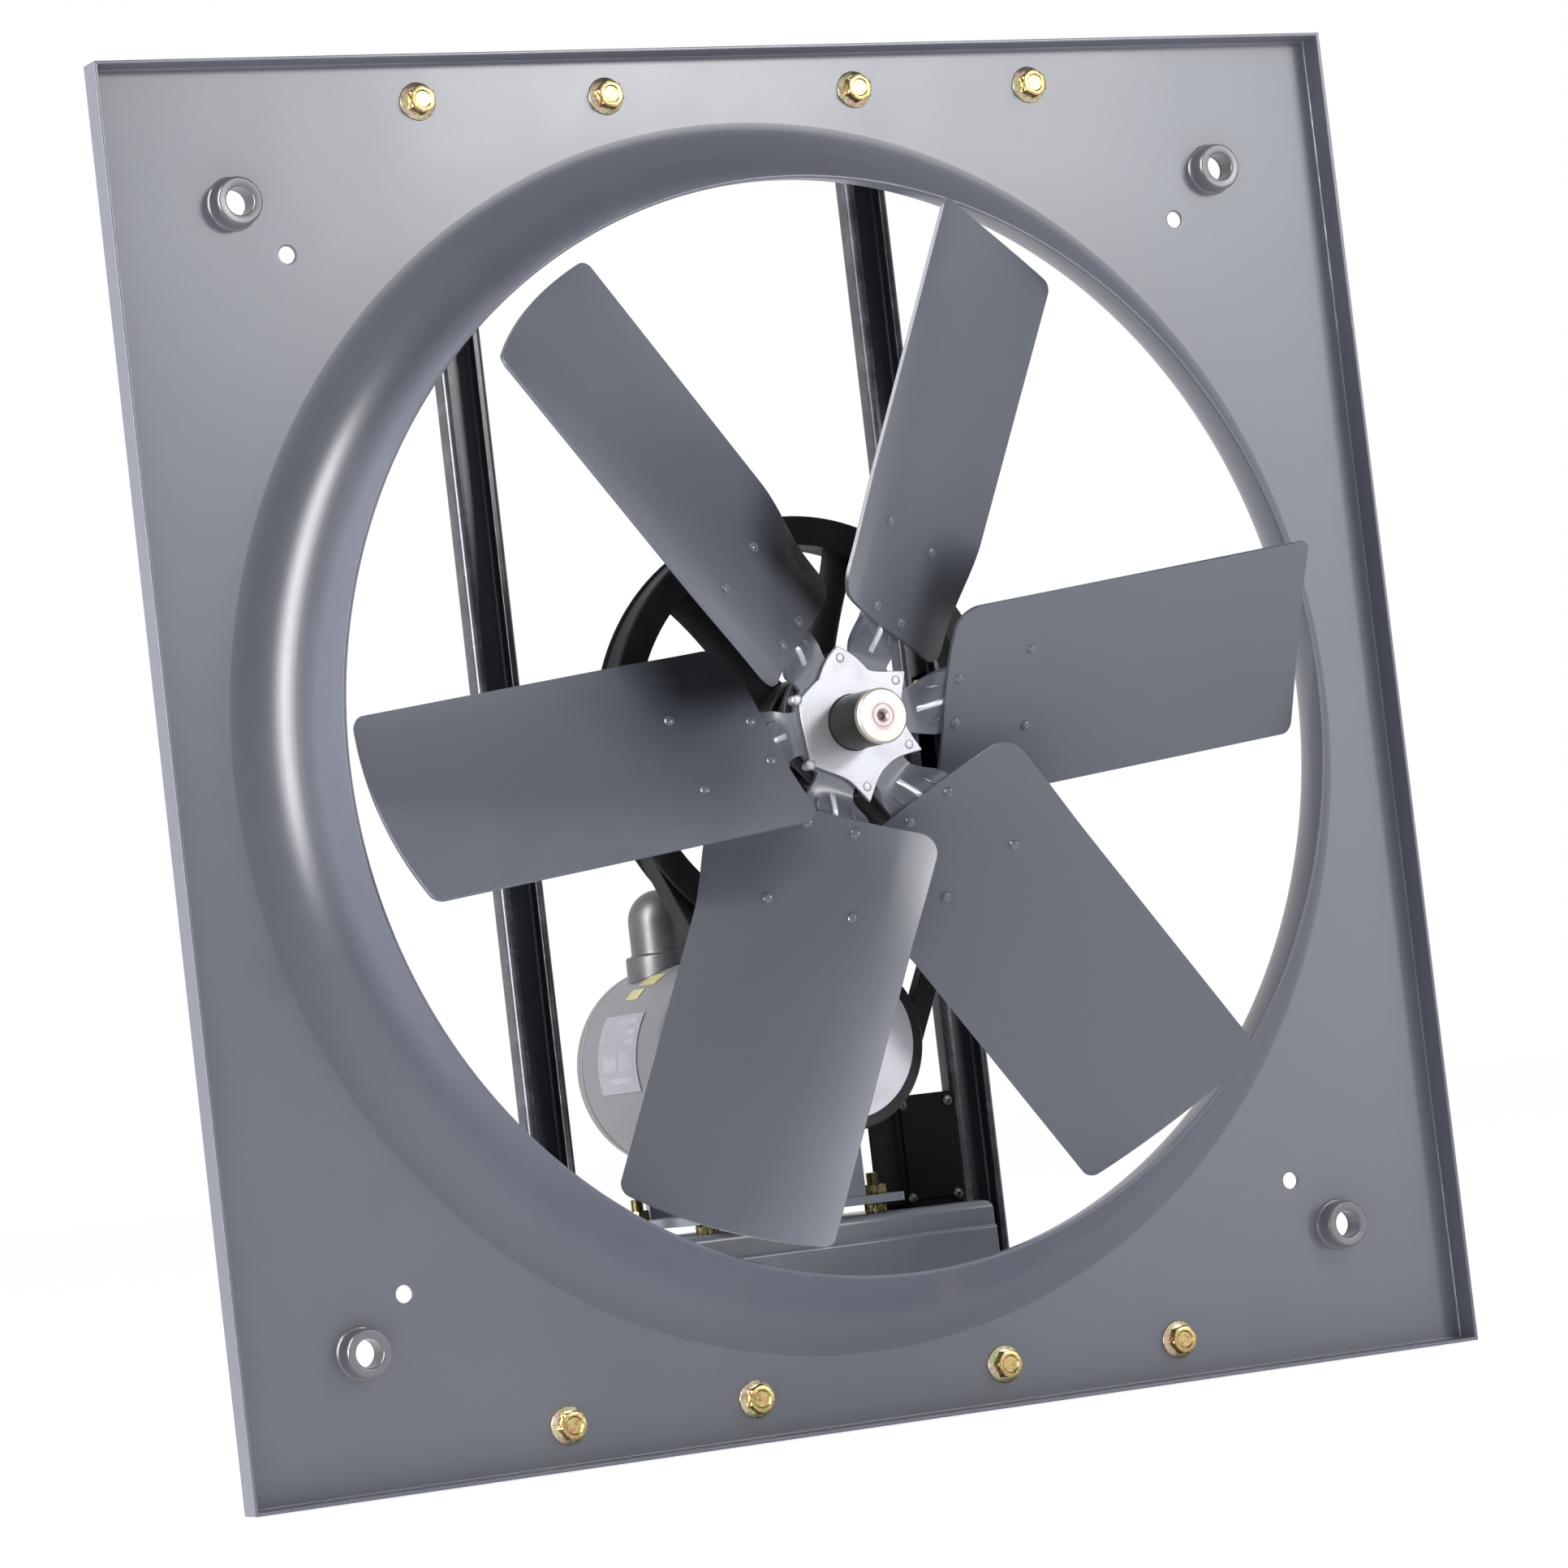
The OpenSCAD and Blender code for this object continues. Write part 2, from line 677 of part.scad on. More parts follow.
// Places a child at the four bolts that hold the cartridge to the bridge
module cartridge_bolt_places() {
    for (sx = [-1, 1], sz = [-1, 1])
        translate([sx * cartridge_bolt_x, 0, sz * cartridge_bolt_z]) children();
}

module bearing_bridge() {
    half = post_x + post_w / 2;
    flange_half = post_x - post_w / 2;
    color(paint) difference() {
        union() {
            block([-half, post_back, -bridge_down], [half, post_back + bridge_t, bridge_up]);
            block([-flange_half, post_back, bridge_up - bridge_t],
                  [flange_half, post_back + bridge_flange, bridge_up]);
            block([-flange_half, post_back, -bridge_down],
                  [flange_half, post_back + bridge_flange, -bridge_down + bridge_t]);
        }
        rod_y(cartridge_r + seat_gap, post_back - over, post_back + bridge_flange + over);
        cartridge_bolt_places() frame_hole(post_back, post_back + bridge_t);
        for (s = [-1, 1], z = bridge_bolt_heights)
            translate([s * post_x, 0, z]) frame_hole(post_back, post_back + bridge_t);
    }
}

module bridge_bolts() {
    color(zinc) for (s = [-1, 1], z = bridge_bolt_heights)
        translate([s * post_x, 0, z]) frame_bolt(post_back - post_t, post_back + bridge_t);
}

module bearing_cartridge() {
    flange_front = post_back - cartridge_flange_t;
    groove_w = clip_t + 2 * seat_gap;
    color(cast_black) difference() {
        union() {
            rod_y(cartridge_r, cartridge_y, cartridge_back);
            block([-cartridge_flange_w, flange_front, -cartridge_flange_h],
                  [cartridge_flange_w, post_back, cartridge_flange_h]);
        }
        rod_y(cartridge_land_r, cartridge_y - over, cartridge_back + over);
        rod_y(bearing_r + fit_gap, cartridge_y - over, front_bearing_y + bearing_w);
        rod_y(bearing_r + fit_gap, rear_bearing_y, cartridge_back + over);
        rod_y(bearing_r + clip_t / 2, front_bearing_y - groove_w, front_bearing_y);
        rod_y(bearing_r + clip_t / 2, rear_bearing_y + bearing_w, rear_bearing_y + bearing_w + groove_w);
        cartridge_bolt_places() frame_hole(flange_front, post_back);
    }
}

module cartridge_bolts() {
    color(zinc) cartridge_bolt_places() frame_bolt(post_back - cartridge_flange_t, post_back + bridge_t);
}

ball_pitch_r = (bearing_bore_r + bearing_r) / 2;

// Places a child at the front of each shaft bearing
module each_bearing() {
    for (y = [front_bearing_y, rear_bearing_y]) translate([0, y, 0]) children();
}

// Ring shaped space that the balls roll in
module ball_track() {
    translate([0, bearing_w / 2, 0]) along_y()
        rotate_extrude($fn = round_fn) translate([ball_pitch_r, 0])
            circle(r = ball_r + seat_gap, $fn = small_fn);
}

module bearing_outer_rings() {
    color(bare_steel) each_bearing() difference() {
        tube_y(bearing_r, bearing_r - ring_t, 0, bearing_w);
        ball_track();
    }
}

module bearing_balls() {
    color(bare_steel) each_bearing() for (i = [0 : ball_count - 1]) rotate([0, 360 * i / ball_count, 0])
        translate([ball_pitch_r, bearing_w / 2, 0]) sphere(r = ball_r, $fn = small_fn);
}

module bearing_inner_rings() {
    color(bare_steel) each_bearing() difference() {
        tube_y(bearing_bore_r + ring_t, bearing_bore_r + fit_gap, 0, bearing_w);
        ball_track();
    }
}

// Internal retaining rings, open at the top between two ears
module retaining_rings() {
    ring_in = bearing_r - 2 * clip_t;
    color(bare_steel) for (y = [front_bearing_y - clip_t - seat_gap, rear_bearing_y + bearing_w + seat_gap])
        difference() {
            tube_y(bearing_r + clip_t / 3, ring_in, y, y + clip_t);
            block([-clip_t * 2, y - over, 0], [clip_t * 2, y + clip_t + over, bearing_r * 2]);
        }
}

module bearing_sleeve() {
    color(bare_steel) tube_y(bearing_bore_r + ring_t - clip_t, bearing_bore_r + fit_gap,
        front_bearing_y + bearing_w, rear_bearing_y);
}

// Turned profile of a shaft: pairs of radius and depth, from front to back
module turned_y(profile) {
    last = len(profile) - 1;
    along_y() rotate_extrude($fn = round_fn)
        polygon(concat([[0, profile[0][1]]], profile, [[0, profile[last][1]]]));
}

hub_key_y = -(spider_back - key_len / 4);
sheave_hub_front = belt_y - sheave_hub_len / 2;

// Places a key along the top of the shaft, half in the shaft and half in the hub
module key_shape(y_from, grow) {
    block([-key_w / 2 - grow, y_from - grow, shaft_r - key_w / 2 - grow],
          [key_w / 2 + grow, y_from + key_len + grow, shaft_r + key_w / 2 + grow]);
}

sheave_key_y = belt_y - key_len / 2;
collar_y = cartridge_back + run_gap;

module fan_shaft() {
    color(bare_steel) difference() {
        turned_y([
            [shaft_r - shaft_chamfer, -shaft_front], [shaft_r, -shaft_front + shaft_chamfer],
            [shaft_r, front_bearing_y], [bearing_bore_r, front_bearing_y],
            [bearing_bore_r, shaft_end - shaft_chamfer], [bearing_bore_r - shaft_chamfer, shaft_end]
        ]);
        rod_y(centre_hole_r, -shaft_front - over, -shaft_front + centre_hole_depth, small_fn);
        rod_y(centre_hole_r, shaft_end - centre_hole_depth, shaft_end + over, small_fn);
        key_shape(hub_key_y, fit_gap);
        key_shape(sheave_key_y, fit_gap);
    }
}

module shaft_keys() {
    color(bare_steel) {
        key_shape(hub_key_y, 0);
        key_shape(sheave_key_y, 0);
    }
}

module locking_collar() {
    color(bare_steel) difference() {
        tube_y(collar_r, bearing_bore_r + fit_gap, collar_y, collar_y + collar_w);
        translate([0, collar_y + collar_w / 2, bearing_bore_r])
            cylinder(h = collar_r, r = set_screw_r, $fn = small_fn);
    }
}

// Barrel with a flange that carries the spider on the shaft
module hub_barrel() {
    color(cast_black) difference() {
        turned_y([
            [barrel_flange_r, -spider_back], [barrel_flange_r, -spider_back + barrel_flange_t],
            [barrel_r, -spider_back + barrel_flange_t], [barrel_r, -barrel_back - edge_chamfer],
            [barrel_r - edge_chamfer, -barrel_back]
        ]);
        hub_rivet_places() rod_y(hub_rivet_r + seat_gap, -spider_back - over, -barrel_back, small_fn);
        rod_y(shaft_r + fit_gap, -spider_back - over, -barrel_back + over);
        block([-key_w / 2 - fit_gap, -spider_back - over, 0],
              [key_w / 2 + fit_gap, -barrel_back + over, shaft_r + key_w / 2 + fit_gap]);
    }
}

// Smooth step from 0 to 1
function ease(x) = let (c = min(1, max(0, x))) c * c * (3 - 2 * c);

// Pitch of a blade at a distance along its centre line
function pitch_at(rho) =
    pitch_root + (pitch_tip - pitch_root) * min(1, max(0, (rho - root_r) / (tip_r - root_r)));

// How far the blade's surface is turned back (+) or bent forward (-) near its root
function root_turn(rho, s) =
    let (fade = pow(1 - min(1, max(0, (rho - root_r) / (curl_end_r - root_r))), curl_power),
         lead = max(0, (-s - chord / 6) / (chord / 3)),
         trail = max(0, (s - chord / 4) / (chord / 4)))
    fade * (root_curl * lead * lead - root_bend * min(1, trail));

// Point on a blade: rho along its centre line, s along its chord from leading to trailing edge,
// lift along its normal towards the viewer. Returned as [rho, tangential, Y]
function blade_point(rho, s, lift) =
    let (b = pitch_at(rho),
         h = camber * pow(2 * s / chord, 2) + lift,
         back = root_turn(rho, s))
    [rho, s * cos(b) - h * sin(b), -blade_front - s * sin(b) - h * cos(b) + back];

// How far a rounded corner of radius r cuts in at a distance s from the centre line
function corner_cut(s, half, r) =
    let (past = max(0, abs(s) - (half - r))) r - sqrt(max(0, r * r - past * past));

// Distance along the centre line of the blade's tip and root at a place on the chord
function tip_rho(s) =
    let (t = s * cos(pitch_tip) - camber * pow(2 * s / chord, 2) * sin(pitch_tip))
    sqrt(tip_r * tip_r - t * t) - corner_cut(s, chord / 2, tip_corner_r);
function root_rho(s) = root_r + corner_cut(s, chord / 2, root_corner_r);

// Closed solid over a grid of points with a front and a back side
module grid_solid(front, back) {
    rows = len(front);
    cols = len(front[0]);
    flat = concat([for (r = front) for (p = r) p], [for (r = back) for (p = r) p]);
    total = rows * cols;
    function id(side, i, j) = side * total + i * cols + j;
    rim = concat(
        [for (j = [0 : cols - 1]) [0, j]],
        [for (i = [1 : rows - 1]) [i, cols - 1]],
        [for (j = [cols - 2 : -1 : 0]) [rows - 1, j]],
        [for (i = [rows - 2 : -1 : 1]) [i, 0]]
    );
    count = len(rim);
    polyhedron(points = flat, faces = concat(
        [for (i = [0 : rows - 2]) for (j = [0 : cols - 2])
            each [[id(0, i, j), id(0, i, j + 1), id(0, i + 1, j + 1)],
                  [id(0, i, j), id(0, i + 1, j + 1), id(0, i + 1, j)]]],
        [for (i = [0 : rows - 2]) for (j = [0 : cols - 2])
            each [[id(1, i, j), id(1, i + 1, j + 1), id(1, i, j + 1)],
                  [id(1, i, j), id(1, i + 1, j), id(1, i + 1, j + 1)]]],
        [for (k = [0 : count - 1]) let (a = rim[k], b = rim[(k + 1) % count])
            each [[id(0, a[0], a[1]), id(1, a[0], a[1]), id(1, b[0], b[1])],
                  [id(0, a[0], a[1]), id(1, b[0], b[1]), id(0, b[0], b[1])]]]
    ));
}

// Turns a point given as [rho, tangential, Y] into X, Y, Z for a blade on the +X axis
function on_x(p) = [p[0], p[2], p[1]];

module blade_sheet() {
    span_steps = 13;
    chord_steps = 18;
    grid = [for (lift = [0, -blade_t])
        [for (i = [0 : span_steps]) [for (j = [0 : chord_steps])
            let (s = chord / 2 * sin(-90 + 180 * j / chord_steps),
                 u = pow(i / span_steps, span_power),
                 rho = root_rho(s) + (tip_rho(s) - root_rho(s)) * u)
            on_x(blade_point(rho, s, lift))]]];
    grid_solid(grid[0], grid[1]);
}

module blade_shape() {
    difference() {
        blade_sheet();
        blade_rivet_holes();
    }
}

// Turns a shape on the +X axis to the place of blade i, counted against the clock from the right
module at_blade(i) {
    rotate([0, -(blade_start + blade_step * i), 0]) children();
}

module blade(i) { color(blade_paint) at_blade(i) blade_shape(); }
module blade_1() { blade(0); }
module blade_2() { blade(1); }
module blade_3() { blade(2); }
module blade_4() { blade(3); }
module blade_5() { blade(4); }
module blade_6() { blade(5); }

// Front face of a spider arm: flat at the hub, and along the blade's back where the blade lies on it
function arm_point(rho, s, lift) =
    let (k = ease((rho - arm_flat_r) / (root_r - arm_flat_r)),
         q = blade_point(rho, s, -blade_t - seat_gap + lift))
    [rho, s * (1 - k) + q[1] * k, (-spider_front - lift) * (1 - k) + q[2] * k];

arm_flat_r = barrel_flange_r;

// Half width of an arm: parallel at the hub, wider under the outer rivets, rounded at its end
function arm_half(rho) =
    let (w = arm_w / 2 + (crosshead_half - arm_w / 2) * ease((rho - root_r) / (rivet_out_r - root_r)),
         past = max(0, rho - rivet_out_r) / (arm_reach - rivet_out_r))
    w * sqrt(max(arm_end_share, 1 - (1 - arm_end_share) * past * past));

// Strip that follows an arm between two radii, from one lift to another
module arm_strip(rho_from, rho_to, half, lift_front, lift_back, span_steps, chord_steps) {
    grid = [for (lift = [lift_front, lift_back])
        [for (i = [0 : span_steps]) [for (j = [0 : chord_steps])
            let (rho = rho_from + (rho_to - rho_from) * i / span_steps,
                 w = half > 0 ? half : arm_half(rho))
            on_x(arm_point(rho, w * (2 * j / chord_steps - 1), lift))]]];
    grid_solid(grid[0], grid[1]);
}

// Spider: a disc on the barrel's flange and six arms that twist to lie along the blades' backs
module hub_spider() {
    arm_start = spider_disc_r - 2 * spider_t;
    color(blade_paint) difference() {
        union() {
            rod_y(spider_disc_r, -spider_front, -spider_back);
            for (i = [0 : blade_count - 1]) at_blade(i) {
                arm_strip(arm_start, arm_reach, 0, -seat_gap, seat_gap - spider_t, 12, 8);
                arm_strip(rib_from, rib_to, rib_w / 2, rib_h, -spider_t / 2, 4, 2);
            }
        }
        rod_y(shaft_r + seat_gap, -spider_front - over, -spider_back + over);
        hub_rivet_places() rod_y(hub_rivet_r + seat_gap, -spider_front - over, -spider_back + over, small_fn);
        for (i = [0 : blade_count - 1]) at_blade(i) blade_rivet_holes();
    }
}

// Outline of the hub plate: points between the arms, hollow sides over the arms
function star_points() =
    let (steps = 8)
    [for (i = [0 : blade_count - 1]) for (j = [0 : steps - 1])
        let (u = abs(2 * j / steps - 1),
             r = hub_waist_r + (hub_point_r - hub_waist_r) * pow(u, star_power),
             a = blade_start - blade_step / 2 + blade_step * (i + j / steps))
        [r * cos(a), r * sin(a)]];

// Places a child at the six rivets of the hub plate, under its points
module hub_rivet_places() {
    for (i = [0 : blade_count - 1])
        rotate([0, -(blade_start + blade_step * (i + 1 / 2)), 0])
            translate([hub_rivet_pitch, 0, 0]) children();
}

module hub_plate() {
    color(bare_steel) difference() {
        translate([0, -spider_front, 0]) facing_front()
            linear_extrude(height = hub_plate_t) polygon(star_points());
        rod_y(shaft_r + seat_gap, -hub_front - over, -spider_front + over);
        hub_rivet_places() rod_y(hub_rivet_r + seat_gap, -hub_front - over, -spider_front + over, small_fn);
    }
}

module hub_rivets() {
    color(bare_steel) hub_rivet_places() {
        rod_y(hub_rivet_r, -hub_front - lap, -spider_back + barrel_flange_t + lap, small_fn);
    }
}

// Frame at a point on the blade's front: moves a child there and lines its Z axis up with the normal
module on_blade(rho, s) {
    p = blade_point(rho, s, 0);
    b = pitch_at(rho) + atan(8 * camber * s / (chord * chord));
    translate(on_x(p)) rotate([90 + b, 0, 0]) children();
}

rivet_places = [
    [rivet_in_r, -rivet_in_s], [rivet_in_r, rivet_in_s],
    [rivet_out_r, -rivet_out_s], [rivet_out_r, rivet_out_s]
];

// Shank of a rivet through blade and arm, for the rivet itself and for its hole
module rivet_shank(grow) {
    grip = blade_t + spider_t + over;
    translate([0, 0, -grip]) cylinder(h = grip + over / 2, r = rivet_r + grow, $fn = small_fn);
}

module blade_rivet_holes() {
    for (p = rivet_places) on_blade(p[0], p[1]) {
        rivet_shank(thread_gap);
        cylinder(h = 2 * rivet_head_h, r = rivet_r + thread_gap, $fn = small_fn);
    }
}

module blade_rivets() {
    color(bare_steel) for (i = [0 : blade_count - 1], p = rivet_places) at_blade(i) on_blade(p[0], p[1]) {
        rivet_shank(0);
        translate([0, 0, seat_gap])
            cylinder(h = rivet_head_h, r1 = rivet_head_r, r2 = rivet_r, $fn = small_fn);
    }
}

// Section of a sheave's rim with its V groove. X is the radius, Y runs along the shaft
module rim_section(r_out, r_in) {
    half = rim_w / 2;
    polygon([
        [r_in, -half], [r_out, -half], [r_out, -groove_top_w / 2],
        [r_out - groove_depth, -groove_bottom_w / 2], [r_out - groove_depth, groove_bottom_w / 2],
        [r_out, groove_top_w / 2], [r_out, half], [r_in, half]
    ]);
}

module driven_sheave() {
    color(cast_black) difference() {
        union() {
            translate([0, belt_y, 0]) along_y()
                rotate_extrude($fn = round_fn) rim_section(driven_r, driven_r - rim_depth);
            rod_y(sheave_hub_r, sheave_hub_front, sheave_hub_front + sheave_hub_len);
            for (i = [0 : spoke_count - 1]) rotate([0, -spoke_start - 360 * i / spoke_count, 0])
                block([sheave_hub_r - spoke_t / 2, belt_y - spoke_t / 2, -spoke_w / 2],
                      [driven_r - rim_depth + lap, belt_y + spoke_t / 2, spoke_w / 2]);
        }
        rod_y(shaft_r + fit_gap, sheave_hub_front - over, sheave_hub_front + sheave_hub_len + over);
        block([-key_w / 2 - fit_gap, sheave_hub_front - over, 0],
              [key_w / 2 + fit_gap, sheave_hub_front + sheave_hub_len + over, shaft_r + key_w / 2 + fit_gap]);
    }
}

// Stations along the belt: the height of the centre that each turns about, its angle and the belt's
// outer radius there. The straight runs lie between the last station of one sheave and the first of the other
belt_step = 4;
big_wrap = 180 + 2 * belt_lean;
small_wrap = 180 - 2 * belt_lean;
big_steps = ceil(big_wrap / belt_step);
small_steps = ceil(small_wrap / belt_step);
belt_stations = concat(
    [for (i = [0 : big_steps]) [0, -belt_lean + big_wrap * i / big_steps, belt_big_r]],
    [for (i = [0 : small_steps]) [motor_z, 180 + belt_lean + small_wrap * i / small_steps, belt_small_r]]
);

// The four corners of the belt's section at a station
function belt_corners(station) =
    [for (corner = [[0, -belt_w / 2], [0, belt_w / 2],
                    [belt_h, belt_inner_w / 2], [belt_h, -belt_inner_w / 2]])
        let (r = station[2] - corner[0])
        [r * cos(station[1]), belt_y + corner[1], station[0] + r * sin(station[1])]];

module v_belt() {
    stations = len(belt_stations);
    corners = 4;
    color(cast_black) polyhedron(
        points = [for (b = belt_stations) each belt_corners(b)],
        faces = [for (i = [0 : stations - 1]) for (j = [0 : corners - 1])
            let (a = i * corners + j,
                 b = i * corners + (j + 1) % corners,
                 c = ((i + 1) % stations) * corners + (j + 1) % corners,
                 d = ((i + 1) % stations) * corners + j)
            each [[a, b, c], [a, c, d]]]
    );
}

// Moves a child from the fan's centre line to the motor's centre line
module at_motor() {
    translate([0, 0, motor_z]) children();
}

motor_shaft_front = sheave_front + edge_chamfer;

module motor_sheave() {
    color(bare_steel) at_motor() difference() {
        union() {
            translate([0, belt_y, 0]) along_y() rotate_extrude($fn = round_fn)
                rim_section(motor_sheave_r, motor_shaft_r + fit_gap);
            rod_y(motor_hub_r, sheave_front, sheave_front + motor_hub_len);
        }
        rod_y(motor_shaft_r + fit_gap, sheave_front - over, sheave_front + motor_hub_len + over, small_fn);
    }
}

// End bell of the motor as a turned shell with a bearing boss. It opens away from y_end
module end_bell(y_end, way, bore_r) {
    outer = concat(
        [[motor_bearing_r + bell_wall, 0]],
        arc_points(motor_r - bell_round, bell_round, bell_round, -90, 0, 10),
        [[motor_r, bell_d]]
    );
    inner = [
        [motor_r - bell_wall, bell_d], [motor_r - bell_wall, bell_round],
        [motor_r - bell_round, bell_wall], [motor_bearing_r + bell_wall, bell_wall],
        [motor_bearing_r + bell_wall, bell_wall + motor_bearing_w],
        [motor_bearing_r + fit_gap, bell_wall + motor_bearing_w],
        [motor_bearing_r + fit_gap, bell_wall], [bore_r, bell_wall], [bore_r, 0]
    ];
    translate([0, y_end, 0]) rotate([-90 * way, 0, 0]) difference() {
        rotate_extrude($fn = round_fn) polygon(concat(outer, inner));
        for (i = [0 : 3]) rotate([0, 0, 45 + 90 * i]) translate([through_bolt_pitch, 0, -over])
            cylinder(h = bell_d + 2 * over, r = through_bolt_r + bolt_gap, $fn = small_fn);
    }
}

module motor_front_bell() { color(motor_paint) at_motor() end_bell(motor_y, 1, motor_journal_r + run_gap); }
module motor_rear_bell() { color(motor_paint) at_motor() end_bell(motor_end, -1, motor_journal_r + run_gap); }

module motor_shell() {
    color(motor_paint) at_motor() tube_y(motor_r, motor_r - motor_wall, shell_y, shell_end);
}

module motor_through_bolts() {
    head = 2 * through_bolt_r;
    seat = bell_wall / 2;
    color(zinc) at_motor() for (i = [0 : 3])
        rotate([0, 45 + 90 * i, 0]) translate([through_bolt_pitch, 0, 0]) {
        rod_y(through_bolt_r, motor_y - seat, motor_end + seat, small_fn);
        rod_y(head, motor_y - seat, motor_y, small_fn);
        rod_y(head, motor_end, motor_end + seat, small_fn);
    }
}

stator_mid = (shell_y + shell_end) / 2;

module motor_stator() {
    y0 = stator_mid - stator_len / 2;
    color("#8a5a3a") at_motor() difference() {
        tube_y(motor_r - motor_wall - fit_gap, stator_bore_r, y0, y0 + stator_len);
        for (i = [0 : 3]) rotate([0, 45 + 90 * i, 0]) translate([through_bolt_pitch, 0, 0])
            rod_y(through_bolt_r + bolt_gap, y0 - over, y0 + stator_len + over, small_fn);
    }
}

front_race_y = motor_y + bell_wall;
rear_race_y = motor_end - bell_wall - motor_bearing_w;

module motor_bearings() {
    color(bare_steel) at_motor() for (y = [front_race_y, rear_race_y])
        tube_y(motor_bearing_r, motor_journal_r + fit_gap, y, y + motor_bearing_w);
}

module motor_shaft() {
    color(bare_steel) at_motor() turned_y([
        [motor_shaft_r - shaft_chamfer, motor_shaft_front],
        [motor_shaft_r, motor_shaft_front + shaft_chamfer],
        [motor_shaft_r, sheave_front + motor_hub_len], [motor_journal_r, sheave_front + motor_hub_len],
        [motor_journal_r, rear_race_y + motor_bearing_w]
    ]);
}

module motor_rotor() {
    y0 = stator_mid - stator_len / 2;
    color("#9a9a98") at_motor()
        tube_y(stator_bore_r - air_gap, motor_journal_r + fit_gap, y0, y0 + stator_len);
}

cap_y = motor_end - cap_from_rear;

module capacitor_cover() {
    dome_z = motor_r + cap_h - cap_r;
    color("#55565a") at_motor() translate([0, cap_y, 0]) difference() {
        translate([-cap_side, 0, 0]) {
            cylinder(h = dome_z, r = cap_r, $fn = round_fn);
            translate([0, 0, dome_z]) sphere(r = cap_r, $fn = round_fn);
            cylinder(h = motor_r + cap_foot_h, r = cap_foot_r, $fn = round_fn);
        }
        rod_y(motor_r + seat_gap, -motor_len, motor_len);
    }
}

module rating_plate() {
    color("#c9c9cc") at_motor() translate([0, cap_y, 0]) facing_front()
        rotate([0, 0, plate_mid_angle - rating_angle / 2])
            rotate_extrude(angle = rating_angle, $fn = round_fn)
                translate([motor_r + seat_gap, 0]) square([rating_t, rating_len]);
}

// Places a child at the four studs that carry the cradle
module stud_places() {
    for (s = [-1, 1], y = [stud_y1, stud_y2]) translate([s * stud_x, y, 0]) children();
}

// Cradle: a base plate with two saddles under the motor shell
module motor_cradle() {
    saddle_y = [cradle_y + saddle_t, cradle_y + cradle_d - 2 * saddle_t];
    color(paint) difference() {
        union() {
            block([-cradle_half, cradle_y, cradle_bottom], [cradle_half, cradle_y + cradle_d, cradle_top]);
            for (y = saddle_y) block([-saddle_half, y, cradle_top - lap],
                                     [saddle_half, y + saddle_t, motor_z - motor_r / 2]);
        }
        at_motor() rod_y(motor_r + seat_gap, 0, motor_end + over);
        stud_places() translate([0, 0, cradle_bottom - over])
            cylinder(h = cradle_t + 2 * over, r = frame_bolt_r + bolt_gap, $fn = small_fn);
    }
}

module cradle_studs() {
    foot = tray_top - tray_t - frame_nut_h - over;
    color(zinc) stud_places() translate([0, 0, foot])
        cylinder(h = tray_top + stud_up - foot, r = frame_bolt_r, $fn = small_fn);
}

// Three nuts on each stud: under the tray, under the cradle and on top of the cradle
module cradle_nuts() {
    levels = [[tray_top - tray_t - frame_nut_h, frame_nut_h], [tray_top, lock_nut_h],
              [cradle_top, frame_nut_h]];
    color(zinc) stud_places() for (l = levels) translate([0, 0, l[0]]) difference() {
        cylinder(h = l[1], r = frame_bolt_flats / 2 / cos(30), $fn = 6);
        translate([0, 0, -over]) cylinder(h = l[1] + 2 * over, r = frame_bolt_r + thread_gap, $fn = small_fn);
    }
}

cleat_y = post_back;
cleat_bolt_ys = [cleat_y + cleat_len / 3, cleat_y + cleat_len * 3 / 4];

// Tray: a pan turned upside down, its front skirt pressed in two steps
module motor_tray() {
    back = tray_y + tray_d;
    bottom = tray_top - tray_skirt;
    step_z = tray_top - tray_step_h;
    color(paint) difference() {
        union() {
            block([-tray_half, tray_y, bottom], [tray_half, back, tray_top]);
            block([-tray_half, tray_y - tray_t / 2, bottom], [tray_half, tray_y + lap, step_z]);
        }
        block([-tray_half + tray_t, tray_y + tray_t, bottom - over],
              [tray_half - tray_t, back - tray_t, tray_top - tray_t]);
        stud_places() translate([0, 0, tray_top - tray_t - over])
            cylinder(h = tray_t + 2 * over, r = frame_bolt_r + bolt_gap, $fn = small_fn);
        for (s = [-1, 1], y = cleat_bolt_ys) translate([s * tray_half, y, cleat_mid]) rotate([0, 90, 0])
            cylinder(h = 4 * tray_t, r = frame_bolt_r + bolt_gap, center = true, $fn = small_fn);
    }
}

// Angle cleat between the back of a post and the end of the tray, for the +X side
module cleat() {
    z0 = cleat_mid - cleat_h / 2;
    color(paint) difference() {
        union() {
            block([tray_half, cleat_y, z0], [tray_half + cleat_t, cleat_y + cleat_len, z0 + cleat_h]);
            block([tray_half, cleat_y, z0], [post_x + post_w / 2, cleat_y + cleat_t, z0 + cleat_h]);
        }
        for (z = cleat_bolt_heights) translate([post_x, 0, z]) frame_hole(cleat_y, cleat_y + cleat_t);
        for (y = cleat_bolt_ys) translate([tray_half, y, cleat_mid]) rotate([0, 90, 0])
            cylinder(h = 4 * cleat_t, r = frame_bolt_r + bolt_gap, center = true, $fn = small_fn);
    }
}

module right_tray_cleat() { cleat(); }
module left_tray_cleat() { mirror([1, 0, 0]) cleat(); }

module cleat_bolts() {
    grip = tray_t + cleat_t;
    color(zinc) for (s = [0, 1]) mirror([s, 0, 0]) {
        for (z = cleat_bolt_heights)
            translate([post_x, 0, z]) frame_bolt(post_back - post_t, cleat_y + cleat_t);
        for (y = cleat_bolt_ys) translate([tray_half + cleat_t, y, cleat_mid])
            rotate([0, 0, 90]) frame_bolt(0, grip);
    }
}

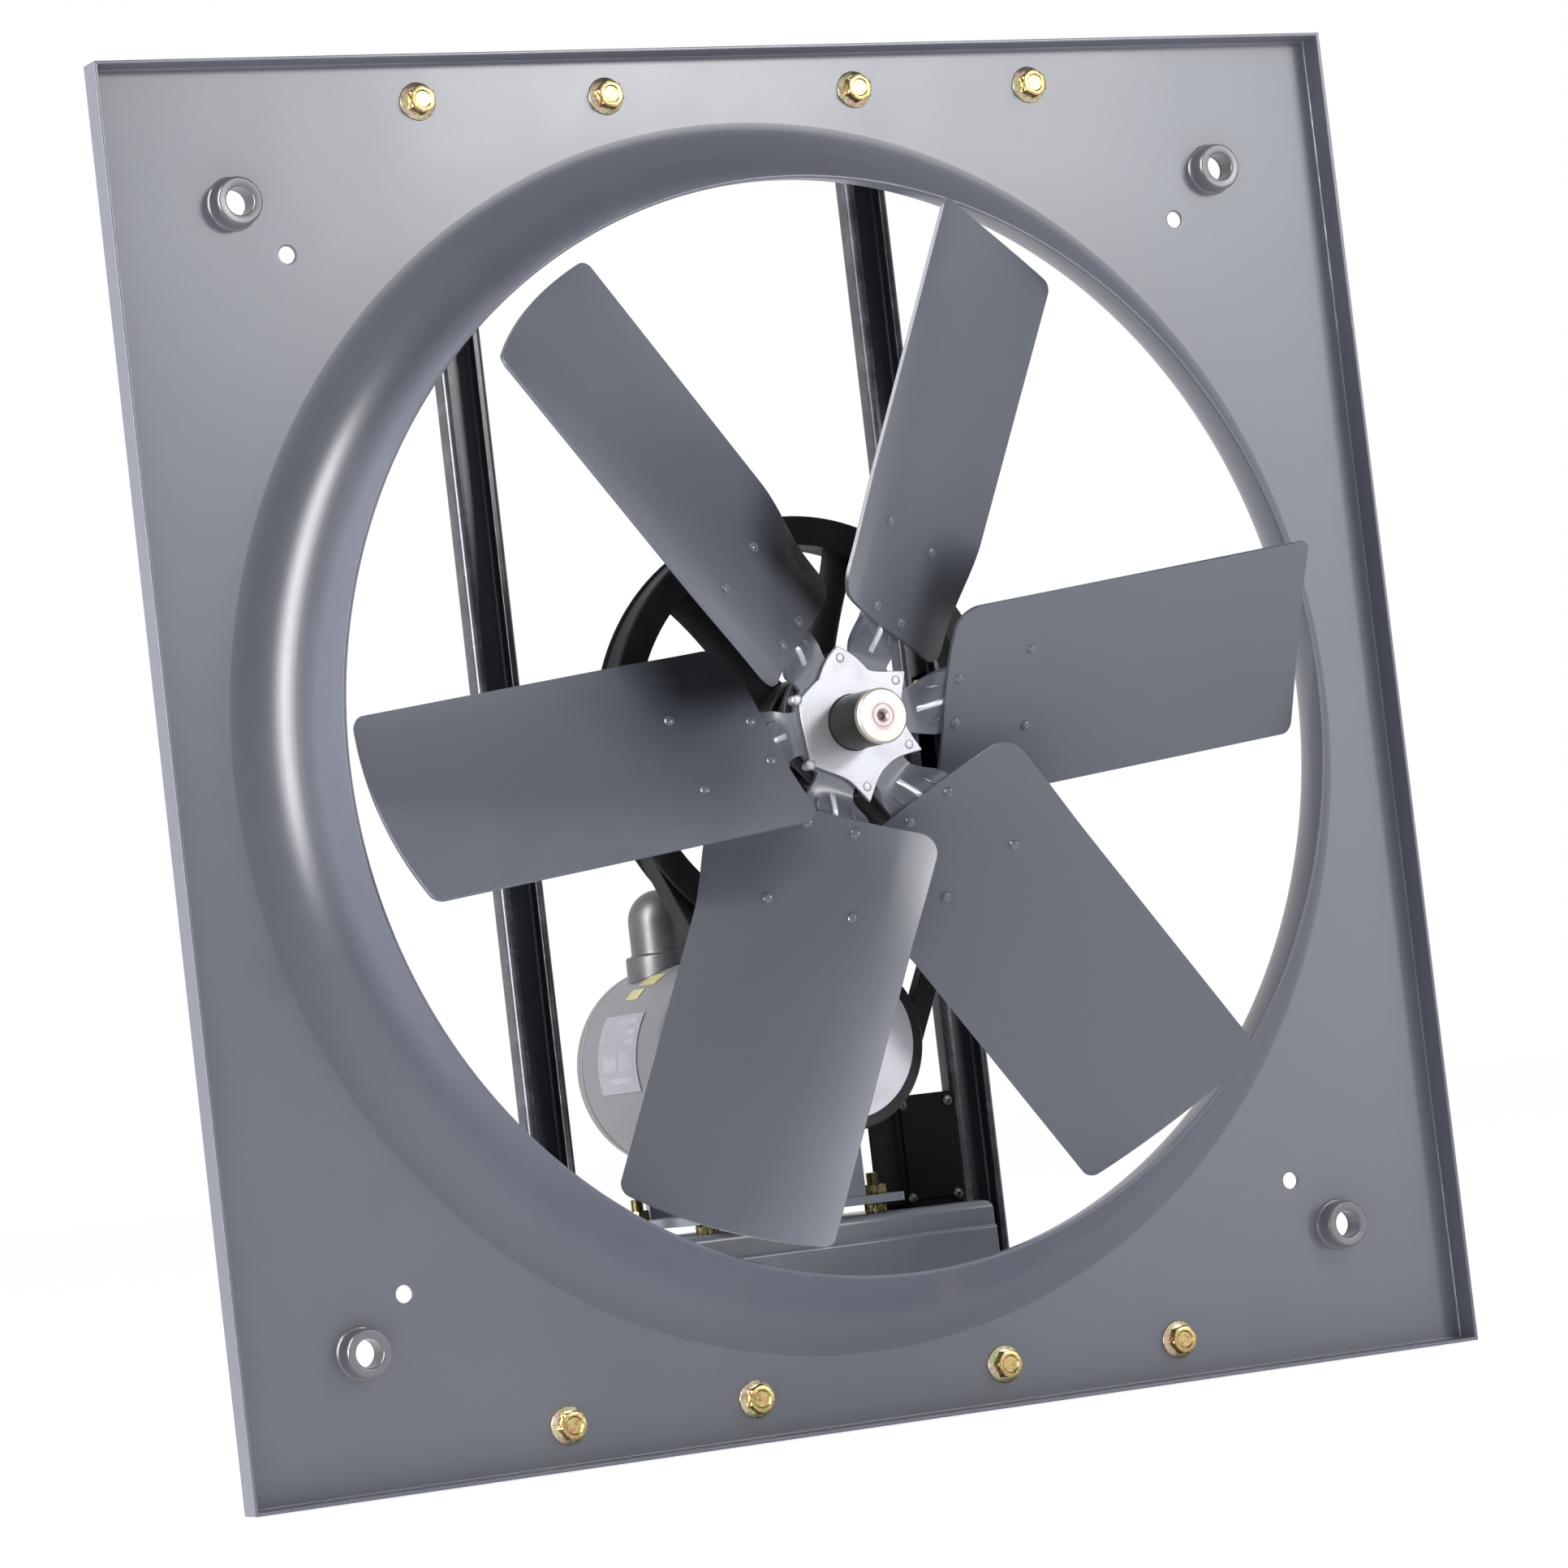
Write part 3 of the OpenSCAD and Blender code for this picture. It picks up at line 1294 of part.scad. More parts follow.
gland_neck_r = (gland_r + gland_bore_r) / 2;
box_back = box_y + box_d;

// Moves a child to the middle of the junction box, sideways and up
module at_box_middle() {
    translate([box_x + box_w / 2, 0, tray_top + box_h / 2]) children();
}

// Junction box on the tray beside the right post, its lid towards the viewer
module junction_box() {
    color(cast_black) difference() {
        block([box_x, box_y + lid_t, tray_top], [box_x + box_w, box_back, tray_top + box_h]);
        block([box_x + box_wall, box_y + lid_t - over, tray_top + box_wall],
              [box_x + box_w - box_wall, box_back - box_wall, tray_top + box_h - box_wall]);
        at_box_middle() rod_y(gland_neck_r + seat_gap, box_back - box_wall - over, box_back + over, small_fn);
    }
}

module lid_screw_places() {
    for (x = [box_x + lid_screw_inset, box_x + box_w - lid_screw_inset],
         z = [tray_top + lid_screw_inset, tray_top + box_h - lid_screw_inset])
        translate([x, 0, z]) children();
}

module junction_box_lid() {
    color(cast_black) difference() {
        block([box_x, box_y, tray_top], [box_x + box_w, box_y + lid_t, tray_top + box_h]);
        lid_screw_places() rod_y(lid_screw_r + thread_gap, box_y - over, box_y + lid_t + over, small_fn);
    }
}

module lid_screws() {
    color(zinc) lid_screw_places() {
        rod_y(lid_screw_r, box_y - lap, box_y + lid_t + box_wall, small_fn);
        rod_y(2 * lid_screw_r, box_y - lid_screw_r, box_y, small_fn);
    }
}

module cable_gland() {
    nut_end = box_back + gland_len / 2;
    color(cast_black) at_box_middle() difference() {
        union() {
            rod_y(gland_neck_r, box_back - box_wall, box_back + lap, small_fn);
            hex_y(2 * gland_r, box_back, nut_end);
            rod_y(gland_r - edge_chamfer, nut_end - lap, box_back + gland_len, small_fn);
        }
        rod_y(gland_bore_r, box_back - box_wall - over, box_back + gland_len + over, small_fn);
    }
}

panel();
corner_spacers();
panel_bolts();
panel_nuts();
upper_left_leg();
upper_right_leg();
lower_left_leg();
lower_right_leg();
left_post();
right_post();
post_bolts();
bearing_bridge();
bridge_bolts();
bearing_cartridge();
cartridge_bolts();
bearing_outer_rings();
bearing_balls();
retaining_rings();
fan_shaft();
bearing_inner_rings();
bearing_sleeve();
locking_collar();
shaft_keys();
hub_barrel();
hub_spider();
hub_plate();
hub_rivets();
blade_1();
blade_2();
blade_3();
blade_4();
blade_5();
blade_6();
blade_rivets();
driven_sheave();
v_belt();
motor_sheave();
motor_shell();
motor_front_bell();
motor_rear_bell();
motor_through_bolts();
motor_stator();
motor_bearings();
motor_shaft();
motor_rotor();
capacitor_cover();
rating_plate();
motor_cradle();
cradle_studs();
cradle_nuts();
motor_tray();
left_tray_cleat();
right_tray_cleat();
cleat_bolts();
junction_box();
junction_box_lid();
lid_screws();
cable_gland();
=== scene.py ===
"""Belt driven axial exhaust fan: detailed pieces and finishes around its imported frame."""

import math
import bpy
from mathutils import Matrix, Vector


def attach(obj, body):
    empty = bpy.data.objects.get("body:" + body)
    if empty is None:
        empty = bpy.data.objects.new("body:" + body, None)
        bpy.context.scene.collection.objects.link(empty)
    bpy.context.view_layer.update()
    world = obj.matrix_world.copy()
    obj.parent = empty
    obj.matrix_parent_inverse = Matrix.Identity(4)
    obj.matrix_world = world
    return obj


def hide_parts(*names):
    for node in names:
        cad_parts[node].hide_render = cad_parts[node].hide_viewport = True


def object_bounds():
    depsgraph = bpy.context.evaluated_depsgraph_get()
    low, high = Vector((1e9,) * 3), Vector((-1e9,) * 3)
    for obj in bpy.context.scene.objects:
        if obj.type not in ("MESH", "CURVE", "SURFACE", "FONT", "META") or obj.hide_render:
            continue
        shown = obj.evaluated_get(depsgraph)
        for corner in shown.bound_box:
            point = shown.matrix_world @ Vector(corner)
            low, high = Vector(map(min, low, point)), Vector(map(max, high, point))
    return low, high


bl_info = {
    "name": "Belt Driven Exhaust Fan",
    "version": (1, 0, 0),
    "blender": (4, 5, 0),
    "location": "View3D > Sidebar > Fan",
    "description": "Builds the sheet metal, castings, motor and fasteners of a belt driven exhaust fan",
    "category": "Object",
}

import bmesh
import bpy
from bpy.props import FloatProperty, FloatVectorProperty, PointerProperty
from mathutils import Matrix, Vector

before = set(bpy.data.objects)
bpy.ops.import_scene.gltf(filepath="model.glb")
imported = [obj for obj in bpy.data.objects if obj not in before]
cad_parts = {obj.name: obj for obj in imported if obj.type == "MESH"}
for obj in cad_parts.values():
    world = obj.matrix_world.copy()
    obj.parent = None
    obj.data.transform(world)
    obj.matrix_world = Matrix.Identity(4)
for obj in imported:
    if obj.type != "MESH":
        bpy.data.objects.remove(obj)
CAD_BOX = [list(corner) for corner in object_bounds()]
MM = 0.001
TURN = 2 * math.pi
BLADES = 6
BLADE_START = 6.0
BLADE_STEP = 60.0
SPOKES = 6
SPOKE_START = 69
CORNERS = [(sx, sz) for sx in (-1, 1) for sz in (-1, 1)]

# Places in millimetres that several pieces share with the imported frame
POST_X = 141
POST_WALL = 117
POST_BACK = 119
LEG_CROWN = 103
BRIDGE_BACK = 123
FOOT_Z = 375.5
FOOT_BOLT_X = 59.5
SPACER_AT = 320.5
SMALL_HOLE_AT = 291
CARTRIDGE_BOLT = (50, 22)
CARTRIDGE_FLANGE = 109
BRIDGE_BOLT_Z = (28, -39)
CRADLE_BOLT_X = 56
CRADLE_BOLT_Y = (87, 177)
TRAY_TOP = -281
TRAY_HALF = 126
SHEAVE_Y = 8.0
BELT_WIDTH = 16.6
GROOVE_SLOPE = math.tan(math.radians(18))


def linear(code):
    """Linear colour of a hex code."""
    parts = [int(code[i : i + 2], 16) / 255 for i in (1, 3, 5)]
    return tuple(c / 12.92 if c <= 0.04045 else ((c + 0.055) / 1.055) ** 2.4 for c in parts)


def size(name, text, value):
    """A length property given in millimetres."""
    return FloatProperty(name=name, description=text, default=value * MM, min=0.0, precision=5, unit="LENGTH")


def tint(name, text, code):
    """A colour property given as a hex code."""
    return FloatVectorProperty(
        name=name, description=text, default=linear(code), size=3, min=0.0, max=1.0, subtype="COLOR"
    )


def share(name, text, value):
    """A factor property."""
    return FloatProperty(name=name, description=text, default=value, min=0.0, max=4.0)


def power(name, text, value):
    """A lamp's power property, in watts."""
    return FloatProperty(name=name, description=text + " (W)", default=value, min=0.0)


class FanSizes(bpy.types.PropertyGroup):
    """Sizes of the visible details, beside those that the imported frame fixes"""

    panel_half: size("Panel half width", "Half of the square panel's side", 400)
    sheet: size("Panel sheet", "Thickness of the panel and its mouth", 2)
    bend: size("Panel bend", "Inner radius of the panel's bend", 1)
    edge: size("Turned edge", "Depth of the turned edge", 16)
    mouth_r: size("Mouth radius", "Radius where the mouth leaves the flat panel", 358)
    throat_r: size("Throat radius", "Inner radius at the mouth's lip", 314)
    mouth_h: size("Mouth height", "Height of the mouth in front of the panel", 60)
    tip_r: size("Blade tip radius", "Radius of the blade tips", 303)
    root_r: size("Blade root radius", "Radius of the blade roots", 57)
    chord: size("Blade chord", "Width of a blade along its chord", 124)
    blade_t: size("Blade sheet", "Thickness of a blade", 2.5)
    camber: size("Blade camber", "Depth of a blade's curve", 8)
    blade_front: size("Blade front", "Distance of the blades' front in front of the panel", 66)
    root_back: size("Root turn", "How far a blade's leading edge is turned back at its root", 14)
    root_strip: size("Root strip", "How far a blade's trailing edge is bent forward at its root", 2.0)
    shaft_r: size("Shaft radius", "Radius of the fan shaft", 15.9)
    driven_r: size("Driven sheave radius", "Outer radius of the large sheave", 126.5)
    motor_sheave_r: size("Motor sheave radius", "Outer radius of the small sheave", 51)
    drop: size("Motor drop", "Drop of the motor below the fan shaft", 180)
    motor_r: size("Motor radius", "Outer radius of the motor", 61)
    edge_round: size("Edge rounding", "Rounding of sheet metal edges", 0.5)
    cover_side: size("Cover offset", "How far the capacitor cover stands left of the motor's axis", 9.5)
    tray_skirt: size("Tray skirt", "Depth of the tray's folded skirt", 38)


class FanFinish(bpy.types.PropertyGroup):
    """Colours and wear of the fan"""

    panel_paint: tint("Panel paint", "Enamel of the panel and sheet parts", "#777a87")
    spacer_paint: tint("Spacer paint", "Enamel of the corner spacers", "#86838b")
    blade_paint: tint("Blade paint", "Enamel of the blades and spider", "#6c717d")
    tray_paint: tint("Tray paint", "Enamel of the motor's tray and cradle", "#969ba6")
    post_paint: tint("Post paint", "Enamel of the posts", "#3c3f47")
    bright_plate: tint("Hub plate", "Bright plated steel of the hub plate", "#aaabb2")
    turned_steel: tint("Turned steel", "Machined faces of the shafts", "#c2baae")
    centre_steel: tint("Centre steel", "Middle of the shaft's end, stained round its centre hole", "#b4a5a6")
    dark_steel: tint("Dark steel", "Oiled skin of the fan shaft", "#31342a")
    gold_zinc: tint("Yellow zinc", "Passivated bolts and nuts", "#a9976c")
    dull_zinc: tint("Dull zinc", "Studs and nuts under the motor", "#6d6a48")
    pale_zinc: tint("Pale zinc", "Pale flanges of the panel bolts", "#bfb8a1")
    cast_black: tint("Black casting", "Sheave and bearing castings", "#18171a")
    belt_black: tint("Belt", "Rubber of the belt", "#1b1a1c")
    sheave_metal: tint("Motor sheave", "Turned metal of the small sheave", "#c0c0c9")
    motor_paint: tint("Motor paint", "Enamel of the motor", "#807f85")
    cover_plastic: tint("Capacitor cover", "Plastic of the capacitor cover", "#4e5053")
    label_metal: tint("Motor label", "Blank label on the motor", "#a3a2ac")
    sticker: tint("Sticker", "Plain sticker on the motor", "#c4bd84")
    # near black: partly the box's own plastic, partly painted shade on a box that faces away from the light
    box_plastic: tint("Junction box", "Plastic of the junction box", "#0d0c0c")
    paint_rough: share("Paint roughness", "Roughness of the enamel", 0.27)
    wear: share("Edge wear", "Strength of the wear on edges", 0.5)
    dust: share("Dust", "Strength of the dust film", 0.25)


class FanStage(bpy.types.PropertyGroup):
    """Camera, lights and floor"""

    lens: FloatProperty(name="Lens", description="Focal length (mm)", default=139.06, min=1.0)
    distance: FloatProperty(name="Distance", description="Camera distance", default=3.4898, unit="LENGTH")
    azimuth: FloatProperty(name="Azimuth", description="Camera azimuth", default=-0.48728, unit="ROTATION")
    elevation: FloatProperty(
        name="Elevation", description="Camera elevation", default=-0.05413, unit="ROTATION"
    )
    roll: FloatProperty(name="Roll", description="Camera roll", default=-0.11627, unit="ROTATION")
    aim_x: FloatProperty(name="Aim X", description="Aim point, sideways", default=-0.01817, unit="LENGTH")
    aim_z: FloatProperty(name="Aim Z", description="Aim point, height", default=-0.0280, unit="LENGTH")
    ambient: share("Ambient", "Strength of the soft light from all round", 0.26)
    bounce: share("Floor bounce", "Light that the floor gives to what stands over it", 0.5)
    key: power("Key light", "Power of the key light", 5.0)
    glow: power("Glow card", "Power of the card that the panel mirrors", 72.0)
    strip: power("Strip card", "Power of the card that the mouth mirrors", 380.0)
    top: power("Top light", "Power of the overhead light", 12.0)
    side: power("Side card", "Power of the card at the viewer's right", 20.0)
    edge: power("Edge light", "Power of the light along the panel", 50.0)


def mm_sizes():
    """The sizes in millimetres, by name."""
    group = bpy.context.scene.fan_sizes
    return {name: getattr(group, name) / MM for name in FanSizes.__annotations__}


def finish_of():
    """The colours and wear set on the scene."""
    return bpy.context.scene.fan_finish


# Geometry in millimetres

ALONG_Y = Matrix.Rotation(-math.pi / 2, 4, "X")
FACING = Matrix.Rotation(math.pi / 2, 4, "X")
LYING = Matrix(((1, 0, 0, 0), (0, 0, 1, 0), (0, -1, 0, 0), (0, 0, 0, 1)))
UPRIGHT = Matrix(((1, 0, 0, 0), (0, 0, 1, 0), (0, 1, 0, 0), (0, 0, 0, 1)))


def turn_y(degrees):
    """Turns about the fan's axis, counted against the clock as the viewer sees it."""
    return Matrix.Rotation(-math.radians(degrees), 4, "Y")


def shift(x=0.0, y=0.0, z=0.0):
    """Matrix that moves by these millimetres."""
    return Matrix.Translation((x, y, z))


def add_faces(bm, rings, ring_closed=True, path_closed=False, material=0, smooth=True):
    """Joins rings of equal length with quads; a ring of one vertex closes to a point."""
    count = len(rings)
    for k in range(count if path_closed else count - 1):
        a, b = rings[k], rings[(k + 1) % count]
        n = max(len(a), len(b))
        for i in range(n if ring_closed else n - 1):
            j = (i + 1) % n
            if len(a) == 1:
                corners = [a[0], b[j], b[i]]
            elif len(b) == 1:
                corners = [a[i], a[j], b[0]]
            else:
                corners = [a[i], a[j], b[j], b[i]]
            if len(set(corners)) == len(corners):
                face = bm.faces.new(corners)
                face.material_index = material
                face.smooth = smooth


def lathe(bm, profile, matrix=ALONG_Y, steps=96, material=0, closed=True):
    """Turns a profile of radius and depth about the matrix's own Z axis."""
    rings = []
    for r, h in profile:
        points = circle(0, 0, r, steps) if r >= 1e-6 else [(0, 0)]
        rings.append([bm.verts.new(matrix @ Vector((x, y, h))) for x, y in points])
    add_faces(bm, rings, path_closed=closed and profile[0][0] > 1e-6, material=material)


def prism(bm, outline, low, high, matrix):
    """Extrudes a flat outline along the matrix's own Z axis, with closed ends."""
    rings = [[bm.verts.new(matrix @ Vector((x, y, h))) for x, y in outline] for h in (low, high)]
    add_faces(bm, rings, smooth=False)
    for ring in rings:
        bm.faces.new(ring)


def block(bm, low, high, matrix):
    """Box between two corners."""
    outline = [(low[0], low[1]), (high[0], low[1]), (high[0], high[1]), (low[0], high[1])]
    prism(bm, outline, low[2], high[2], matrix)


def circle(cx, cz, r, steps=48, start=0.0):
    """Points round a circle, counted from its start angle in radians."""
    return [
        (cx + r * math.cos(start + TURN * i / steps), cz + r * math.sin(start + TURN * i / steps))
        for i in range(steps)
    ]


def flat_sheet(bm, outer, holes, depth):
    """Flat sheet in the XZ plane with holes. Gives the ring of vertices round each loop."""
    loops, edges = [], []
    for loop in [outer, *holes]:
        verts = [bm.verts.new((x, depth, z)) for x, z in loop]
        loops.append(verts)
        edges += [bm.edges.new((verts[i], verts[(i + 1) % len(verts)])) for i in range(len(verts))]
    bmesh.ops.triangle_fill(bm, use_beauty=True, use_dissolve=False, edges=edges, normal=(0, -1, 0))
    return loops


def thick_plate(bm, outer, holes, front, back):
    """Flat plate with holes, closed all round, between two depths."""
    for a, b in zip(*(flat_sheet(bm, outer, holes, depth) for depth in (front, back))):
        add_faces(bm, [a, b])


def fold(bm, verts, outs, normal, radius, depth, closed, material=0):
    """Turns a sheet's border through a right angle: a bend of that inner radius and a straight run."""
    steps = 5
    start = [v.co.copy() for v in verts]
    rings = [list(verts)]
    for k in range(1, steps + 1):
        a = math.pi / 2 * k / steps
        rings.append([
            bm.verts.new(p + o * radius * math.sin(a) + normal * radius * (1 - math.cos(a)))
            for p, o in zip(start, outs)
        ])
    if depth > 0:
        rings.append([bm.verts.new(v.co + normal * depth) for v in rings[-1]])
    add_faces(bm, rings, ring_closed=closed, material=material)


def square_loop(half_x, half_z, steps):
    """Points round a rectangle with the outward direction of each, corners on the diagonal."""
    points, outs = [], []
    corners = [(-1, -1), (1, -1), (1, 1), (-1, 1)]
    sides = [(0, -1), (1, 0), (0, 1), (-1, 0)]
    for k, (sx, sz) in enumerate(corners):
        nx, nz = corners[(k + 1) % 4]
        for i in range(steps):
            t = i / steps
            points.append((half_x * (sx + (nx - sx) * t), half_z * (sz + (nz - sz) * t)))
            out = (sx, sz) if i == 0 else sides[k]
            outs.append(Vector((out[0], 0, out[1])))
    return points, outs


def fillet_path(points, radius, steps=5, closed=False):
    """Open or closed flat path with rounded corners. A radius may be given for each corner."""
    out = []
    count = len(points)
    for i, p in enumerate(points):
        if not closed and i in (0, count - 1):
            out.append(p)
            continue
        a = Vector(points[i - 1]) - Vector(p)
        b = Vector(points[(i + 1) % count]) - Vector(p)
        r = radius[i] if isinstance(radius, (list, tuple)) else radius
        angle = a.angle(b)
        if r <= 0 or angle > math.pi - 1e-4:
            out.append(p)
            continue
        cut = min(r / math.tan(angle / 2), 0.49 * a.length, 0.49 * b.length)
        r = cut * math.tan(angle / 2)
        start, end = Vector(p) + a.normalized() * cut, Vector(p) + b.normalized() * cut
        middle = Vector(p) + (a.normalized() + b.normalized()).normalized() * (r / math.sin(angle / 2))
        a0 = math.atan2(start.y - middle.y, start.x - middle.x)
        a1 = math.atan2(end.y - middle.y, end.x - middle.x)
        turn = (a1 - a0 + math.pi) % TURN - math.pi
        out += [
            (middle.x + r * math.cos(a0 + turn * k / steps), middle.y + r * math.sin(a0 + turn * k / steps))
            for k in range(steps + 1)
        ]
    return out


def strip_outline(path, thickness):
    """Closed outline of a strip: the path, and the path set off to its left by the thickness."""
    points = [Vector(p) for p in path]
    off = []
    for i, p in enumerate(points):
        a = (p - points[i - 1]).normalized() if i else (points[1] - p).normalized()
        b = (points[i + 1] - p).normalized() if i < len(points) - 1 else a
        na, nb = Vector((-a.y, a.x)), Vector((-b.y, b.x))
        middle = (na + nb).normalized()
        off.append(p + middle * (thickness / max(0.2, middle.dot(na))))
    return [tuple(p) for p in points] + [tuple(p) for p in reversed(off)]


def hex_body(bm, flats, low, high, matrix, start=0.0, dish=0.0, hole=0.0):
    """Bolt head or nut with chamfered corners: many sided rings between round and hexagon."""
    sides = 48
    inner = flats / 2

    def ring(k, h):
        """k is 0 for the inscribed circle and 1 for the full hexagon."""
        out = []
        for i in range(sides):
            a = start + TURN * i / sides
            local = (a - start + math.pi / 6) % (math.pi / 3) - math.pi / 6
            r = inner / math.cos(local)
            out.append(bm.verts.new(matrix @ Vector((
                (inner + (r - inner) * k) * math.cos(a), (inner + (r - inner) * k) * math.sin(a), h
            ))))
        return out

    def round_ring(r, h):
        """Plain round ring."""
        return [bm.verts.new(matrix @ Vector((x, y, h))) for x, y in circle(0, 0, r, sides, start)]

    drop = 0.12 * inner
    up = 1 if high > low else -1
    rings = [round_ring(max(hole, 0.05), low), ring(0.0, low), ring(1.0, low + up * drop * 0.35),
             ring(1.0, high - up * drop), ring(0.25, high - up * drop * 0.25), round_ring(inner * 0.94, high)]
    if hole:
        rings.append(round_ring(hole + 0.6, high))
        rings.append(round_ring(hole, high - up * 0.6))
        add_faces(bm, rings, path_closed=True)
        return
    if dish:
        rings += [round_ring(inner * 0.72, high), round_ring(inner * 0.6, high - up * dish),
                  round_ring(0.05, high - up * dish)]
    else:
        rings.append(round_ring(0.05, high))
    add_faces(bm, rings)
    for end in (rings[0], rings[-1]):
        bm.faces.new(end)


def threads(r, low, high, pitch):
    """Profile of a threaded rod's outside, as radius and depth."""
    profile = [(0.0, low), (r - pitch * 0.55, low)]
    turns = max(1, int(abs(high - low) / pitch))
    step = (high - low) / turns
    for i in range(turns):
        y = low + step * i
        profile += [(r - pitch * 0.45, y + step * 0.15), (r, y + step * 0.45), (r, y + step * 0.55),
                    (r - pitch * 0.45, y + step * 0.85)]
    return profile + [(r - pitch * 0.55, high), (0.0, high)]


def rod_profile(r, low, high, chamfer=0.6):
    """Profile of a plain rod with chamfered ends."""
    up = 1 if high > low else -1
    return [(0.0, low), (r - chamfer, low), (r, low + up * chamfer), (r, high - up * chamfer),
            (r - chamfer, high), (0.0, high)]


def dome_profile(r, base, height):
    """Profile of a round headed rivet on a base plane, rising to base + height."""
    steps = 8
    out = [(0.0, base)]
    for i in range(steps + 1):
        a = math.pi / 2 * i / steps
        out.append((r * math.cos(a) if i < steps else 0.0, base + height * math.sin(a)))
    return out


def piece(name, bm, body, nodes, materials, bevel=0.0, solid=None, sharp=32.0, limit=34.0):
    """Makes an object of a mesh in millimetres and ties it to its body, slot and replaced nodes."""
    bmesh.ops.remove_doubles(bm, verts=bm.verts, dist=1e-4)
    bmesh.ops.dissolve_degenerate(bm, edges=bm.edges, dist=1e-4)
    if solid is None:
        bmesh.ops.recalc_face_normals(bm, faces=bm.faces)
    bmesh.ops.scale(bm, vec=(MM, MM, MM), verts=bm.verts)
    mesh = bpy.data.meshes.new(name)
    bm.to_mesh(mesh)
    bm.free()
    mesh.set_sharp_from_angle(angle=math.radians(sharp))
    obj = bpy.data.objects.new(name, mesh)
    bpy.context.scene.collection.objects.link(obj)
    for material in materials if isinstance(materials, (list, tuple)) else [materials]:
        mesh.materials.append(material)
    if solid is not None:
        thick = obj.modifiers.new("Sheet", "SOLIDIFY")
        thick.thickness = abs(solid) * MM
        thick.offset = -1.0 if solid > 0 else 1.0
        thick.use_even_offset = True
    if bevel:
        edge = obj.modifiers.new("Edges", "BEVEL")
        edge.width = bevel * MM
        edge.segments = 2
        edge.limit_method = "ANGLE"
        edge.angle_limit = math.radians(limit)
        edge.use_clamp_overlap = True
        edge.miter_outer = "MITER_ARC"
        normals = obj.modifiers.new("Normals", "WEIGHTED_NORMAL")
        normals.keep_sharp = True
        normals.weight = 80
    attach(obj, body)
    if nodes:
        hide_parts(*([nodes] if isinstance(nodes, str) else nodes))
    return obj


# Shader trees and finishes


class Tree:
    """Adds and joins nodes in one shader tree."""

    def __init__(self, tree):
        self.tree = tree

    def put(self, socket, value):
        """Links a socket, or sets the value of one that isn't linked."""
        if isinstance(value, bpy.types.NodeSocket):
            self.tree.links.new(value, socket)
        elif value is not None:
            is_colour = socket.type == "RGBA"
            socket.default_value = (*value, 1.0) if is_colour and len(value) == 3 else value

    def add(self, kind, inputs=None, **settings):
        """Adds a node and fills its inputs, by name or number."""
        node = self.tree.nodes.new("ShaderNode" + kind)
        for key, value in settings.items():
            setattr(node, key, value)
        for key, value in (inputs or {}).items():
            self.put(node.inputs[key], value)
        return node

    def math(self, operation, a, b=0.0, clamp=False):
        """Sum, product or other function of two values."""
        return self.add("Math", {0: a, 1: b}, operation=operation, use_clamp=clamp).outputs[0]

    def mix(self, factor, a, b, blend="MIX"):
        """Mixes two colours."""
        node = self.add("Mix", data_type="RGBA", blend_type=blend)
        self.put(node.inputs[0], factor)
        self.put(node.inputs[6], a)
        self.put(node.inputs[7], b)
        return node.outputs[2]

    def remap(self, value, low, high, to_low=0.0, to_high=1.0):
        """Stretches a range of values to another, and holds it at the ends."""
        ends = {0: value, 1: low, 2: high, 3: to_low, 4: to_high}
        return self.add("MapRange", ends, clamp=True).outputs[0]

    def noise(self, vector, scale, detail=3.0, rough=0.55):
        """Noise between 0 and 1."""
        given = {"Vector": vector, "Scale": scale, "Detail": detail, "Roughness": rough}
        return self.add("TexNoise", given).outputs[0]

    def coords(self):
        """Coordinates of the object."""
        return self.add("TexCoord").outputs["Object"]


def node_group(name, inputs, outputs, build):
    """A shader group built once: inputs are (name, kind, default), outputs (name, kind)."""
    found = bpy.data.node_groups.get(name)
    if found:
        return found
    tree = bpy.data.node_groups.new(name, "ShaderNodeTree")
    for label, kind, default in inputs:
        socket = tree.interface.new_socket(name=label, in_out="INPUT", socket_type="NodeSocket" + kind)
        socket.default_value = (*default, 1.0) if kind == "Color" else default
    for label, kind in outputs:
        tree.interface.new_socket(name=label, in_out="OUTPUT", socket_type="NodeSocket" + kind)
    source = tree.nodes.new("NodeGroupInput")
    sink = tree.nodes.new("NodeGroupOutput")
    for label, value in build(Tree(tree), source.outputs).items():
        tree.links.new(value, sink.inputs[label])
    return tree


